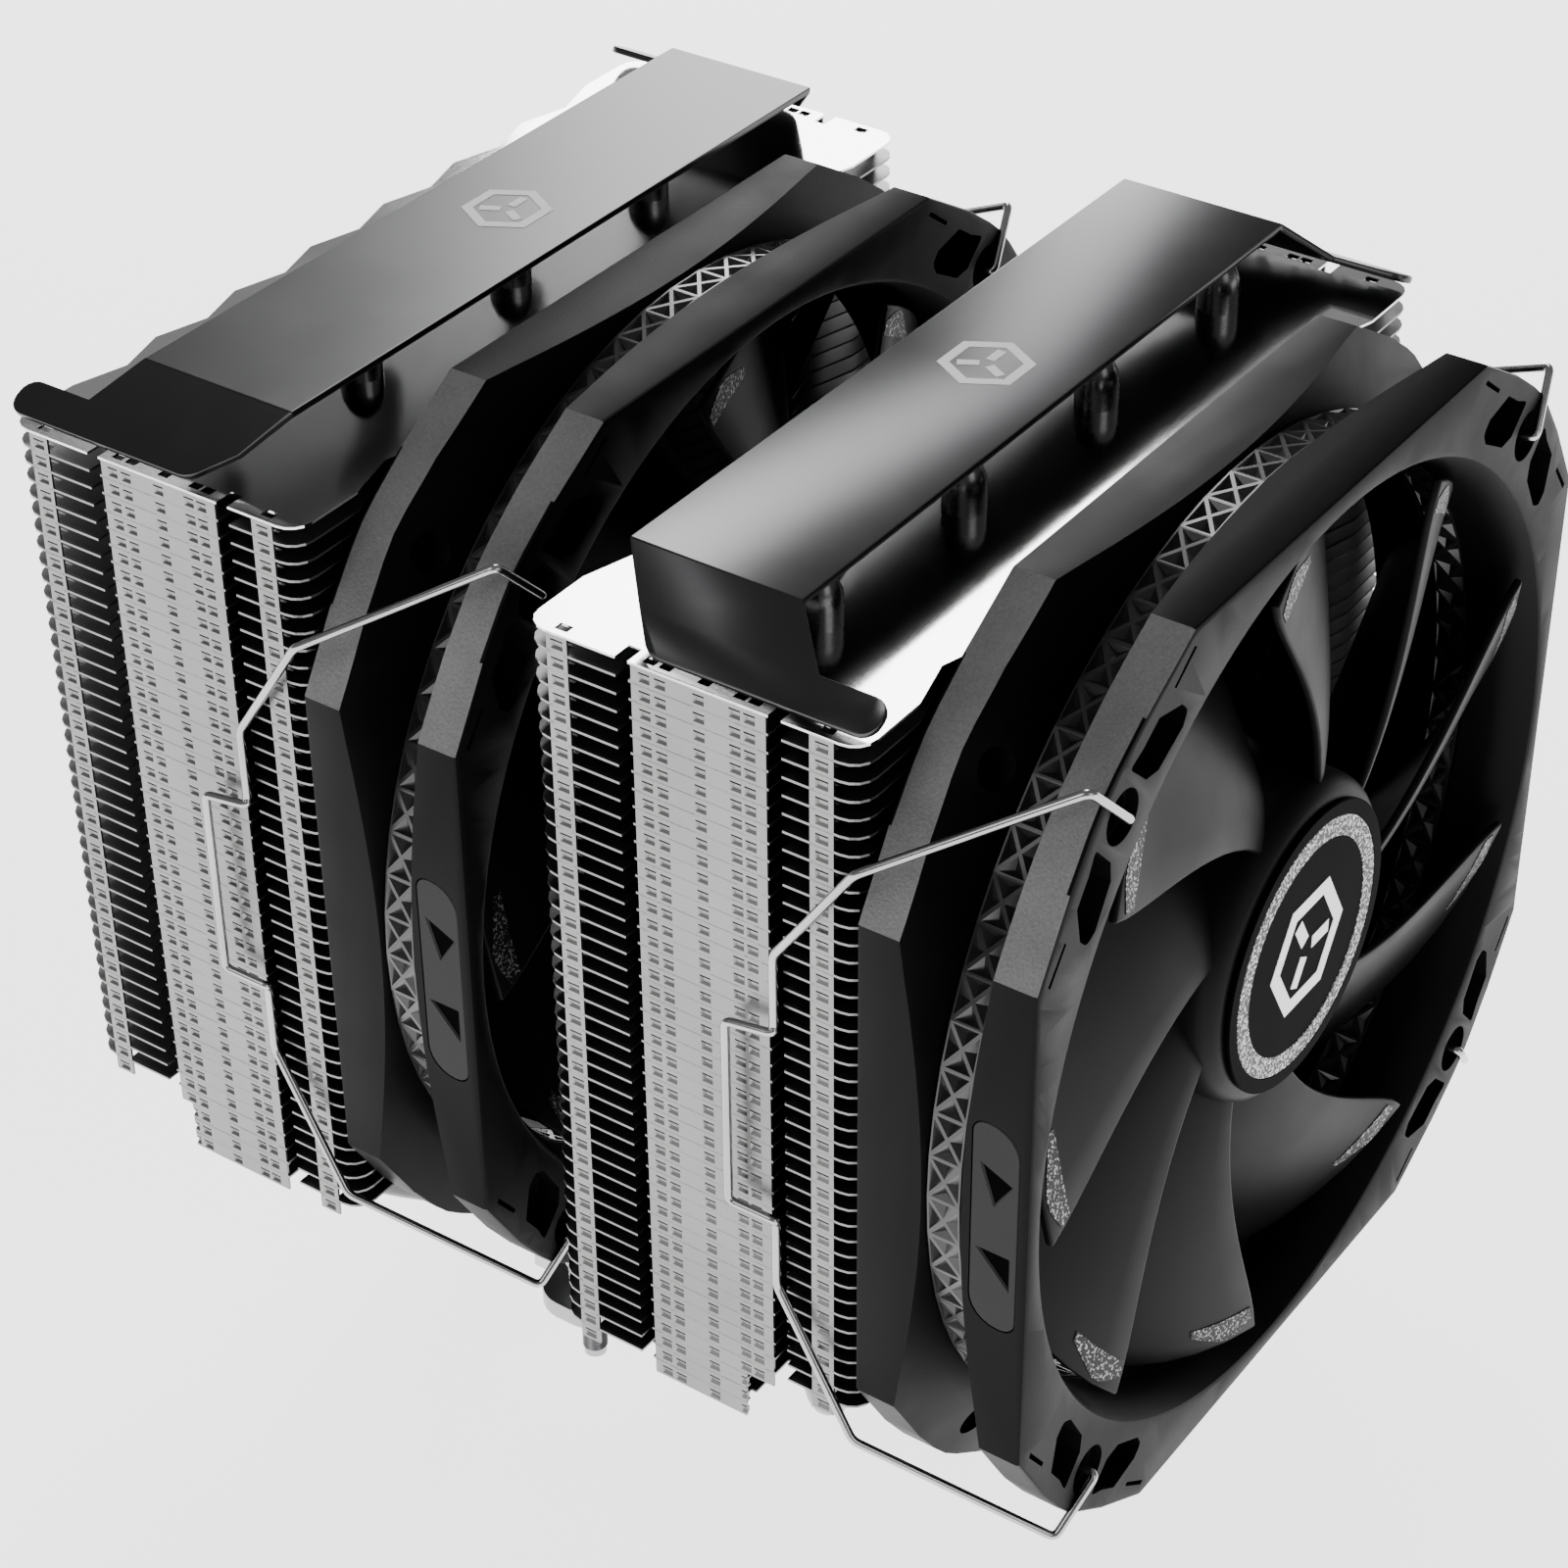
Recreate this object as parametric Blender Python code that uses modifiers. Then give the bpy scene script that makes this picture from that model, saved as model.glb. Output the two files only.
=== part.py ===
# Twin-tower processor cooler: a copper base, seven U-shaped heat pipes, two fin stacks with folded
# top covers, two 140 mm fans and four wire clips.
# Frame: the origin is the centre of the base's contact face, +Z points up the towers,
# X runs across the fin stacks, and the air is drawn in at -Y and leaves at +Y.
import math

import bmesh
import bpy
from mathutils import Matrix, Vector

# Driving dimensions, in metres
GAP = 0.0003

FAN_SIZE = 0.140
FAN_DEPTH = 0.0249
FAN_CENTRE_Z = 0.095
FAN_FLAT = 0.0374
FAN_CORNER_CUT = 0.0540
FAN_CORNER_ROUND = 0.0610
FAN_HOLE_SPACING = 0.105
FAN_HOLE_RADIUS = 0.0028
FRONT_FAN_Y = -0.0925
MIDDLE_FAN_Y = -0.0075
PLATE_EDGE = 0.0049
PLATE_DEPTH = 0.0098
BAND_RADIUS = 0.0695
BAND_THICKNESS = 0.0016
BORE_RADIUS = 0.0650
MOUTH_RADIUS = 0.0675
MOUTH_DEPTH = 0.0045
PLATE_REACH = 0.0830
MOTOR_PLATE_RADIUS = 0.0225
MOTOR_PLATE_THICKNESS = 0.0025
STRUT_COUNT = 4
STRUT_WIDTH = 0.0050

HUB_RADIUS = 0.0235
HUB_FRONT = 0.0012
HUB_WALL = 0.0018
HUB_DEPTH = 0.0200
BADGE_RADIUS = 0.0208
BADGE_THICKNESS = 0.0006
BLADE_COUNT = 9
BLADE_TIP_RADIUS = 0.0638
BLADE_FRONT = 0.0030
BLADE_REAR = 0.0200
BLADE_THICKNESS = 0.0012
BLADE_BOW = 0.0012
BLADE_LEAD = (14, -12, 26)
BLADE_CHORD = (42, -8)
BLADE_ROWS = 4
BLADE_COLUMNS = 3
TURNED_STEPS = 32
SHAFT_RADIUS = 0.0015
BEARING_RADIUS = 0.0045
STATOR_RADIUS = 0.0180
CORE_CLEARANCE = 0.0020
INLAY_LENGTH = 0.0320
INLAY_WIDTH = 0.0066
INLAY_DEPTH = 0.0008

TOWER_HALF_WIDTH = 0.068
TOWER_INNER_Y = 0.0179
TOWER_OUTER_Y = 0.0670
TOWER_TOP_Z = 0.1556
TOWER_BOTTOM_Z = 0.0400
TOWER_STEP_Z = 0.0475
TOWER_STEP_Y = 0.0490
FIN_COUNT = 8
FIN_THICKNESS = 0.0010

PIPE_COUNT = 7
PIPE_RADIUS = 0.0030
PIPE_HOLE_RADIUS = 0.0039
PIPE_HOLE_SIDES = 6
PIPE_TOP_PITCH = 0.0160
PIPE_BASE_PITCH = 0.0068
PIPE_BASE_Z = 0.0080
PIPE_STRAIGHT_Y = 0.0235
PIPE_UPRIGHT_Z = 0.0385
PIPE_TOP_Z = 0.1625
PIPE_STAGGER = 0.0050
PIPE_BEND_POINTS = 8
FAR_PIPE_BEND = (0.50, 0.80)
NEAR_PIPE_BEND = (0.95, 0.40)

BASE_HALF_X = 0.0265
BASE_HALF_Y = 0.0215
BASE_CAP_Z = 0.0142
CROSSBAR_HALF_X = 0.0460
CROSSBAR_HALF_Y = 0.0065
CROSSBAR_TOP_Z = 0.0175
SCREW_X = 0.0390
SCREW_RADIUS = 0.0019
SCREW_HEAD_RADIUS = 0.0040
SCREW_HEAD_TOP = 0.0245
SCREW_HEAD_HEIGHT = 0.0026
SCREW_END_Z = 0.0035
COLLAR_WIDTH = 0.0010
COLLAR_HEIGHT = 0.0015
SPRING_RADIUS = 0.0031
SPRING_WIRE = 0.00040
SPRING_TURNS = 3

COVER_TOP_Z = 0.1651
COVER_SHEET = 0.0010
COVER_FOLDS_X = (0.0576, 0.0627, 0.0678)
COVER_FOLDS_Z = (0.1651, 0.1596, 0.1571)
COVER_BACK_Y = (-0.01595, -0.0110, -0.0063)
COVER_FRONT_Y = (0.00915, 0.0148, 0.0254)

CLIP_RADIUS = 0.0007
CLIP_REST_X = 0.0692
CLIP_SIDE_X = 0.0712
CLIP_HANDLE_X = 0.0704
CLIP_HOOK_DEPTH = 0.0018
CLIP_GROOVE_Y = 0.0375
CLIP_HANDLE_Y = 0.0440

TOWER_Y = (TOWER_INNER_Y + TOWER_OUTER_Y) / 2
HALF_FAN = FAN_SIZE / 2


def start_scene():
    for item in list(bpy.data.objects):
        bpy.data.objects.remove(item)
    parts = bpy.data.collections.new("processor_cooler")
    cutters = bpy.data.collections.new("cutters")
    bpy.context.scene.collection.children.link(parts)
    bpy.context.scene.collection.children.link(cutters)
    return parts, cutters


PARTS, CUTTERS = start_scene()


def make_material(name, colour, roughness, metallic):
    material = bpy.data.materials.new(name)
    material.use_nodes = True
    shader = material.node_tree.nodes["Principled BSDF"]
    shader.inputs["Base Color"].default_value = (*colour, 1.0)
    shader.inputs["Roughness"].default_value = roughness
    shader.inputs["Metallic"].default_value = metallic
    return material


BLACK_PLASTIC = make_material("black_plastic", (0.030, 0.030, 0.032), 0.50, 0.0)
GREY_PLASTIC = make_material("grey_plastic", (0.060, 0.060, 0.062), 0.45, 0.0)
DARK_METAL = make_material("dark_metal", (0.045, 0.045, 0.048), 0.35, 1.0)
NICKEL = make_material("nickel", (0.72, 0.72, 0.71), 0.25, 1.0)
STEEL = make_material("steel", (0.55, 0.55, 0.55), 0.25, 1.0)
COPPER = make_material("copper", (0.60, 0.34, 0.20), 0.35, 1.0)
BADGE_SILVER = make_material("badge_silver", (0.50, 0.50, 0.50), 0.30, 1.0)


def keep(item, material):
    """Put a finished object with the parts."""
    PARTS.objects.link(item)
    item.data.materials.append(material)
    return item


def keep_cutter(item):
    CUTTERS.objects.link(item)
    item.hide_render = True
    item.display_type = "WIRE"
    return item


def mesh_from_bmesh(name, work):
    mesh = bpy.data.meshes.new(name)
    work.to_mesh(mesh)
    work.free()
    return bpy.data.objects.new(name, mesh)


def box_into(work, low, high):
    centre = (Vector(low) + Vector(high)) / 2
    size = Vector(high) - Vector(low)
    matrix = Matrix.Translation(centre) @ Matrix.Diagonal((*size, 1.0))
    bmesh.ops.create_cube(work, size=1.0, matrix=matrix)


def box(name, low, high):
    work = bmesh.new()
    box_into(work, low, high)
    return mesh_from_bmesh(name, work)


def cylinder_into(work, start, end, radius, sides):
    start = Vector(start)
    run = Vector(end) - start
    turn = run.to_track_quat("Z", "Y").to_matrix().to_4x4()
    matrix = Matrix.Translation(start + run / 2) @ turn
    bmesh.ops.create_cone(work, cap_ends=True, segments=sides, radius1=radius, radius2=radius,
                          depth=run.length, matrix=matrix)


def cylinder(name, start, end, radius, sides):
    work = bmesh.new()
    cylinder_into(work, start, end, radius, sides)
    return mesh_from_bmesh(name, work)


def turned(name, profile, steps, centre, along_y=False):
    """Turn a closed profile of (radius, height) points, listed down the outer side, about an axis."""
    work = bmesh.new()
    points = [work.verts.new((radius, 0.0, height)) for radius, height in profile]
    for first, second in zip(points, points[1:] + points[:1]):
        if first.co.x > 0 or second.co.x > 0:
            work.edges.new((first, second))
    item = mesh_from_bmesh(name, work)
    screw = item.modifiers.new("turn", "SCREW")
    screw.axis = "Z"
    screw.steps = steps
    screw.render_steps = steps
    screw.use_merge_vertices = True
    screw.merge_threshold = 0.00001
    item.location = centre
    if along_y:
        item.rotation_euler = (math.radians(-90), 0.0, 0.0)
    return item


def cut(item, cutter, operation="DIFFERENCE"):
    boolean = item.modifiers.new("cut", "BOOLEAN")
    boolean.operation = operation
    boolean.solver = "EXACT"
    boolean.object = cutter


def curve_object(name, points, radius, closed=False):
    """A round wire or pipe through the points."""
    curve = bpy.data.curves.new(name, "CURVE")
    curve.dimensions = "3D"
    curve.bevel_depth = radius
    curve.bevel_resolution = 2
    curve.use_fill_caps = True
    spline = curve.splines.new("POLY")
    spline.points.add(len(points) - 1)
    for place, point in zip(spline.points, points):
        place.co = (*point, 1.0)
    spline.use_cyclic_u = closed
    return bpy.data.objects.new(name, curve)


def to_mesh_object(item):
    """Replace a curve by a welded mesh at the same place."""
    bpy.context.scene.collection.objects.link(item)
    bpy.context.view_layer.update()
    evaluated = item.evaluated_get(bpy.context.evaluated_depsgraph_get())
    mesh = bpy.data.meshes.new_from_object(evaluated)
    work = bmesh.new()
    work.from_mesh(mesh)
    bmesh.ops.remove_doubles(work, verts=work.verts[:], dist=0.000001)
    work.to_mesh(mesh)
    work.free()
    solid = bpy.data.objects.new(item.name + "_solid", mesh)
    solid.matrix_world = item.matrix_world.copy()
    bpy.data.objects.remove(item)
    return solid


def fan_outline():
    """One turn round the fan plate: four flats, and corners of two bevels and a round nose."""
    nose = (FAN_CORNER_ROUND - FAN_CORNER_CUT) / 2
    quarter = [(FAN_FLAT, HALF_FAN), (FAN_CORNER_CUT - nose, FAN_CORNER_ROUND - nose * 0.2)]
    quarter.append((FAN_CORNER_CUT + nose, FAN_CORNER_CUT + nose))
    quarter.append((FAN_CORNER_ROUND - nose * 0.2, FAN_CORNER_CUT - nose))
    quarter.append((HALF_FAN, FAN_FLAT))
    points = []
    for turn in range(4):
        for across, up in quarter:
            spin = Matrix.Rotation(-turn * math.pi / 2, 2)
            points.append(tuple(spin @ Vector((across, up))))
    return points


def outline_prism(name, front_y, depth):
    """A flat plate with the fan's outline, standing across the Y axis."""
    curve = bpy.data.curves.new(name, "CURVE")
    curve.dimensions = "2D"
    curve.fill_mode = "BOTH"
    curve.extrude = depth / 2
    spline = curve.splines.new("POLY")
    outline = fan_outline()
    spline.points.add(len(outline) - 1)
    for place, (across, up) in zip(spline.points, outline):
        place.co = (across, up, 0.0, 1.0)
    spline.use_cyclic_u = True
    item = bpy.data.objects.new(name, curve)
    item.location = (0.0, front_y + depth / 2, FAN_CENTRE_Z)
    item.rotation_euler = (math.radians(90), 0.0, 0.0)
    return to_mesh_object(item)


def corner_places(half_spacing):
    return [(x * half_spacing, FAN_CENTRE_Z + z * half_spacing) for x in (-1, 1) for z in (-1, 1)]


# Heights in a turned fan piece run along +Y, measured from the fan's front face
def fan_turned(name, profile, steps, front_y):
    return turned(name, profile, steps, (0.0, front_y, FAN_CENTRE_Z), along_y=True)


def make_fan_frame(prefix, front_y):
    core = BAND_RADIUS - BAND_THICKNESS - GAP
    profile = [(BORE_RADIUS, FAN_DEPTH), (PLATE_REACH, FAN_DEPTH),
               (PLATE_REACH, FAN_DEPTH - PLATE_EDGE), (BAND_RADIUS, FAN_DEPTH - PLATE_DEPTH),
               (core, FAN_DEPTH - PLATE_DEPTH), (core, PLATE_DEPTH), (BAND_RADIUS, PLATE_DEPTH),
               (PLATE_REACH, PLATE_EDGE), (PLATE_REACH, 0.0), (MOUTH_RADIUS, 0.0),
               (BORE_RADIUS, MOUTH_DEPTH)]
    frame = fan_turned(prefix + "_frame", profile, TURNED_STEPS, front_y)
    prism = keep_cutter(outline_prism(prefix + "_outline", front_y - 0.001, FAN_DEPTH + 0.002))
    cut(frame, prism, "INTERSECT")

    rear_y = front_y + FAN_DEPTH
    work = bmesh.new()
    motor_front = rear_y - MOTOR_PLATE_THICKNESS
    cylinder_into(work, (0, motor_front, FAN_CENTRE_Z), (0, rear_y, FAN_CENTRE_Z),
                  MOTOR_PLATE_RADIUS, 24)
    plate = keep_cutter(mesh_from_bmesh(prefix + "_motor_plate", work))
    cut(frame, plate, "UNION")
    for index in range(STRUT_COUNT):
        strut = box(prefix + "_strut_%d" % (index + 1),
                    (MOTOR_PLATE_RADIUS - 0.003, 0.0002, -STRUT_WIDTH / 2),
                    (BORE_RADIUS + 0.002, MOTOR_PLATE_THICKNESS - 0.0002, STRUT_WIDTH / 2))
        strut.location = (0.0, motor_front, FAN_CENTRE_Z)
        strut.rotation_euler = (0.0, math.radians(45 + 90 * index), 0.0)
        cut(frame, keep_cutter(strut), "UNION")

    work = bmesh.new()
    for x, z in corner_places(FAN_HOLE_SPACING / 2):
        cylinder_into(work, (x, front_y - 0.002, z), (x, rear_y + 0.002, z), FAN_HOLE_RADIUS, 10)
    cylinder_into(work, (0, motor_front - 0.002, FAN_CENTRE_Z), (0, rear_y - 0.001, FAN_CENTRE_Z),
                  BEARING_RADIUS + GAP, 16)
    for side in (-1, 1):
        low_x, high_x = sorted((side * (HALF_FAN - INLAY_DEPTH), side * (HALF_FAN + 0.002)))
        middle = front_y + PLATE_DEPTH / 2
        box_into(work, (low_x, middle - INLAY_WIDTH / 2 - GAP, FAN_CENTRE_Z - INLAY_LENGTH / 2 - GAP),
                 (high_x, middle + INLAY_WIDTH / 2 + GAP, FAN_CENTRE_Z + INLAY_LENGTH / 2 + GAP))
    holes = keep_cutter(mesh_from_bmesh(prefix + "_holes", work))
    cut(frame, holes)
    return keep(frame, BLACK_PLASTIC)


def make_textured_band(prefix, front_y):
    inner = BAND_RADIUS - BAND_THICKNESS
    near = PLATE_DEPTH + GAP
    far = FAN_DEPTH - PLATE_DEPTH - GAP
    profile = [(inner, far), (BAND_RADIUS, far), (BAND_RADIUS, near), (inner, near)]
    band = fan_turned(prefix + "_textured_band", profile, TURNED_STEPS, front_y)
    return keep(band, BLACK_PLASTIC)


def make_side_inlay(prefix, front_y, side, word):
    outer = HALF_FAN
    inner = HALF_FAN - INLAY_DEPTH + GAP
    low_x, high_x = sorted((side * inner, side * outer))
    middle = front_y + PLATE_DEPTH / 2
    inlay = box(prefix + "_" + word + "_inlay",
                (low_x, middle - INLAY_WIDTH / 2, FAN_CENTRE_Z - INLAY_LENGTH / 2),
                (high_x, middle + INLAY_WIDTH / 2, FAN_CENTRE_Z + INLAY_LENGTH / 2))
    return keep(inlay, GREY_PLASTIC)


def blade_sheet(work, turn):
    """One swept blade: rows from the hub to the tip, each a chord that turns and climbs."""
    rows = []
    for step in range(BLADE_ROWS):
        share = step / (BLADE_ROWS - 1)
        radius = HUB_RADIUS - 0.0008 + share * (BLADE_TIP_RADIUS - HUB_RADIUS + 0.0008)
        lead = math.radians(BLADE_LEAD[0] + BLADE_LEAD[1] * share + BLADE_LEAD[2] * share * share)
        chord = math.radians(BLADE_CHORD[0] + BLADE_CHORD[1] * share)
        row = []
        for part in range(BLADE_COLUMNS):
            along = part / (BLADE_COLUMNS - 1)
            angle = turn + lead - chord * along
            bow = BLADE_BOW * math.sin(math.pi * along)
            depth = BLADE_FRONT + (BLADE_REAR - BLADE_FRONT) * (0.08 + 0.84 * along) - bow
            row.append(work.verts.new((radius * math.cos(angle), depth, radius * math.sin(angle))))
        rows.append(row)
    for inner_row, outer_row in zip(rows, rows[1:]):
        for index in range(BLADE_COLUMNS - 1):
            work.faces.new((inner_row[index], inner_row[index + 1], outer_row[index + 1],
                            outer_row[index]))


def make_rotor(prefix, front_y):
    front = HUB_FRONT
    inner = HUB_RADIUS - HUB_WALL
    back = front + HUB_DEPTH
    profile = [(inner, back), (HUB_RADIUS, back), (HUB_RADIUS, front + 0.004),
               (HUB_RADIUS - 0.001, front + 0.0015), (HUB_RADIUS - 0.0025, front), (0.0, front),
               (0.0, front + HUB_WALL), (inner, front + HUB_WALL)]
    rotor = fan_turned(prefix + "_rotor", profile, TURNED_STEPS, front_y)
    work = bmesh.new()
    for index in range(BLADE_COUNT):
        blade_sheet(work, index * 2 * math.pi / BLADE_COUNT)
    blades = keep_cutter(mesh_from_bmesh(prefix + "_blades", work))
    blades.location = (0.0, front_y, FAN_CENTRE_Z)
    solid = blades.modifiers.new("thickness", "SOLIDIFY")
    solid.thickness = BLADE_THICKNESS
    solid.offset = 0.0
    cut(rotor, blades, "UNION")
    return keep(rotor, BLACK_PLASTIC)


def make_fan_core(prefix, front_y):
    """The badge, the shaft, the bearing and the stator inside the hub."""
    badge_back = HUB_FRONT - GAP
    badge_front = badge_back - BADGE_THICKNESS
    badge = cylinder(prefix + "_hub_badge", (0, front_y + badge_front, FAN_CENTRE_Z),
                     (0, front_y + badge_back, FAN_CENTRE_Z), BADGE_RADIUS, 32)
    keep(badge, BADGE_SILVER)

    shaft_front = HUB_FRONT + HUB_WALL + GAP
    bearing_back = FAN_DEPTH - 0.001 - GAP
    shaft = cylinder(prefix + "_shaft", (0, front_y + shaft_front, FAN_CENTRE_Z),
                     (0, front_y + bearing_back - 0.0015, FAN_CENTRE_Z), SHAFT_RADIUS, 12)
    keep(shaft, STEEL)

    bore = SHAFT_RADIUS + GAP / 3
    profile = [(bore, bearing_back), (BEARING_RADIUS, bearing_back),
               (BEARING_RADIUS, shaft_front + CORE_CLEARANCE),
               (bore, shaft_front + CORE_CLEARANCE)]
    keep(fan_turned(prefix + "_bearing_sleeve", profile, 16, front_y), COPPER)

    stator_front = HUB_FRONT + HUB_WALL + CORE_CLEARANCE
    stator_back = FAN_DEPTH - MOTOR_PLATE_THICKNESS - GAP
    inner = BEARING_RADIUS + GAP
    profile = [(inner, stator_back), (STATOR_RADIUS, stator_back), (STATOR_RADIUS, stator_front),
               (inner, stator_front)]
    keep(fan_turned(prefix + "_stator", profile, 16, front_y), COPPER)


def make_fan(prefix, front_y):
    make_fan_frame(prefix, front_y)
    make_textured_band(prefix, front_y)
    make_side_inlay(prefix, front_y, -1, "left")
    make_side_inlay(prefix, front_y, 1, "right")
    make_rotor(prefix, front_y)
    make_fan_core(prefix, front_y)


def pipe_places():
    """Where each pipe stands: its X in the base, its X in the towers and its distance in Y."""
    middle = (PIPE_COUNT - 1) / 2
    places = []
    for index in range(PIPE_COUNT):
        offset = index - middle
        stagger = PIPE_STAGGER if index % 2 == 0 else -PIPE_STAGGER
        places.append((offset * PIPE_BASE_PITCH, offset * PIPE_TOP_PITCH, TOWER_Y + stagger))
    return places


def bend_points(base_x, tower_x, tower_y):
    """The smooth bend from the base's end to the upright, on the +Y side."""
    run_share, rise_share = FAR_PIPE_BEND if tower_y > TOWER_Y else NEAR_PIPE_BEND
    start = Vector((base_x, PIPE_STRAIGHT_Y, PIPE_BASE_Z))
    end = Vector((tower_x, tower_y, PIPE_UPRIGHT_Z))
    first = start + Vector((0.0, (tower_y - PIPE_STRAIGHT_Y) * run_share, 0.0))
    second = end - Vector((0.0, 0.0, (PIPE_UPRIGHT_Z - PIPE_BASE_Z) * rise_share))
    points = []
    for step in range(PIPE_BEND_POINTS):
        t = step / (PIPE_BEND_POINTS - 1)
        point = start * (1 - t) ** 3 + first * 3 * t * (1 - t) ** 2
        points.append(point + second * 3 * t * t * (1 - t) + end * t ** 3)
    return points


def make_heat_pipes():
    for number, (base_x, tower_x, tower_y) in enumerate(pipe_places(), start=1):
        half = bend_points(base_x, tower_x, tower_y)
        half.append(Vector((tower_x, tower_y, PIPE_TOP_Z)))
        mirrored = [Vector((point.x, -point.y, point.z)) for point in reversed(half)]
        keep(curve_object("heat_pipe_%d" % number, mirrored + half, PIPE_RADIUS), NICKEL)


def make_fin_stack(name, side):
    """A coarse stack: one stepped block, cut into fins between its end bands and bored for the pipes."""
    work = bmesh.new()
    inner, step, outer = (side * y for y in (TOWER_INNER_Y, TOWER_STEP_Y, TOWER_OUTER_Y))
    section = [(inner, TOWER_BOTTOM_Z), (step, TOWER_BOTTOM_Z), (step, TOWER_STEP_Z),
               (outer, TOWER_STEP_Z), (outer, TOWER_TOP_Z), (inner, TOWER_TOP_Z)]
    face = work.faces.new([work.verts.new((-TOWER_HALF_WIDTH, y, z)) for y, z in section])
    swept = bmesh.ops.extrude_face_region(work, geom=[face])
    moved = [item for item in swept["geom"] if isinstance(item, bmesh.types.BMVert)]
    bmesh.ops.translate(work, verts=moved, vec=(2 * TOWER_HALF_WIDTH, 0, 0))
    bmesh.ops.recalc_face_normals(work, faces=work.faces[:])
    stack = mesh_from_bmesh(name, work)

    pitch = (TOWER_TOP_Z - TOWER_BOTTOM_Z - FIN_THICKNESS) / (FIN_COUNT - 1)
    slots = bmesh.new()
    near, far = sorted((side * (TOWER_INNER_Y - 0.002), side * (TOWER_OUTER_Y + 0.002)))
    half = TOWER_HALF_WIDTH - FIN_THICKNESS
    for index in range(FIN_COUNT - 1):
        low = TOWER_BOTTOM_Z + FIN_THICKNESS + index * pitch
        box_into(slots, (-half, near, low), (half, far, low + pitch - FIN_THICKNESS))
    cut(stack, keep_cutter(mesh_from_bmesh(name + "_slots", slots)))

    bores = bmesh.new()
    for base_x, tower_x, tower_y in pipe_places():
        cylinder_into(bores, (tower_x, side * tower_y, TOWER_BOTTOM_Z - 0.004),
                      (tower_x, side * tower_y, TOWER_TOP_Z + 0.004), PIPE_HOLE_RADIUS, PIPE_HOLE_SIDES)
    cut(stack, keep_cutter(mesh_from_bmesh(name + "_bores", bores)))
    return keep(stack, NICKEL)


def make_top_cover(name, side):
    """A folded sheet with open long sides, a top, and at each end a steep facet, a foot and an arm."""
    stations = list(zip(COVER_FOLDS_X, COVER_FOLDS_Z, COVER_BACK_Y, COVER_FRONT_Y))
    work = bmesh.new()
    columns = []
    for x_side in (-1, 1):
        ordered = stations if x_side > 0 else stations[::-1]
        for x, z, start, end in ordered:
            near = work.verts.new((x_side * x, side * (TOWER_Y + start), z))
            far = work.verts.new((x_side * x, side * (TOWER_Y + end), z))
            columns.append((near, far))
    for left, right in zip(columns, columns[1:]):
        work.faces.new((left[0], right[0], right[1], left[1]))
    bmesh.ops.recalc_face_normals(work, faces=work.faces[:])
    if sum(face.normal.z for face in work.faces) < 0:
        bmesh.ops.reverse_faces(work, faces=work.faces[:])
    cover = mesh_from_bmesh(name, work)
    solid = cover.modifiers.new("sheet", "SOLIDIFY")
    solid.thickness = COVER_SHEET
    solid.offset = -1.0
    return keep(cover, DARK_METAL)


def make_base():
    work = bmesh.new()
    for base_x, tower_x, tower_y in pipe_places():
        cylinder_into(work, (base_x, -0.04, PIPE_BASE_Z), (base_x, 0.04, PIPE_BASE_Z),
                      PIPE_RADIUS + GAP, 12)
    grooves = keep_cutter(mesh_from_bmesh("pipe_grooves", work))

    plate = box("base_plate", (-BASE_HALF_X, -BASE_HALF_Y, 0.0),
                (BASE_HALF_X, BASE_HALF_Y, PIPE_BASE_Z - GAP / 2))
    cut(plate, grooves)
    keep(plate, COPPER)
    cap = box("base_cap", (-BASE_HALF_X, -BASE_HALF_Y, PIPE_BASE_Z + GAP / 2),
              (BASE_HALF_X, BASE_HALF_Y, BASE_CAP_Z))
    cut(cap, grooves)
    keep(cap, NICKEL)


def make_crossbar():
    bottom = BASE_CAP_Z + GAP
    bar = box("mounting_crossbar", (-CROSSBAR_HALF_X, -CROSSBAR_HALF_Y, bottom),
              (CROSSBAR_HALF_X, CROSSBAR_HALF_Y, CROSSBAR_TOP_Z))
    work = bmesh.new()
    work.from_mesh(bar.data)
    corners = [edge for edge in work.edges if abs(edge.verts[0].co.z - edge.verts[1].co.z) > 0.001]
    bmesh.ops.bevel(work, geom=corners, offset=0.005, segments=3, affect="EDGES", profile=0.5)
    work.to_mesh(bar.data)
    work.free()
    holes = bmesh.new()
    for x_side in (-1, 1):
        cylinder_into(holes, (x_side * SCREW_X, 0, bottom - 0.002),
                      (x_side * SCREW_X, 0, CROSSBAR_TOP_Z + 0.002), SCREW_RADIUS + GAP, 12)
    cut(bar, keep_cutter(mesh_from_bmesh("crossbar_holes", holes)))
    return keep(bar, STEEL)


def make_captive_screw(name, x):
    """A sprung screw: head above the bar, plain shank through it and a retaining collar below."""
    head_bottom = SCREW_HEAD_TOP - SCREW_HEAD_HEIGHT
    collar_top = BASE_CAP_Z - GAP
    profile = [(0.0, SCREW_HEAD_TOP), (SCREW_HEAD_RADIUS, SCREW_HEAD_TOP),
               (SCREW_HEAD_RADIUS, head_bottom), (SCREW_RADIUS, head_bottom),
               (SCREW_RADIUS, collar_top), (SCREW_RADIUS + COLLAR_WIDTH, collar_top),
               (SCREW_RADIUS + COLLAR_WIDTH, collar_top - COLLAR_HEIGHT),
               (SCREW_RADIUS, collar_top - COLLAR_HEIGHT), (SCREW_RADIUS, SCREW_END_Z),
               (0.0, SCREW_END_Z)]
    return keep(turned(name, profile, 16, (x, 0.0, 0.0)), STEEL)


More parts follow.
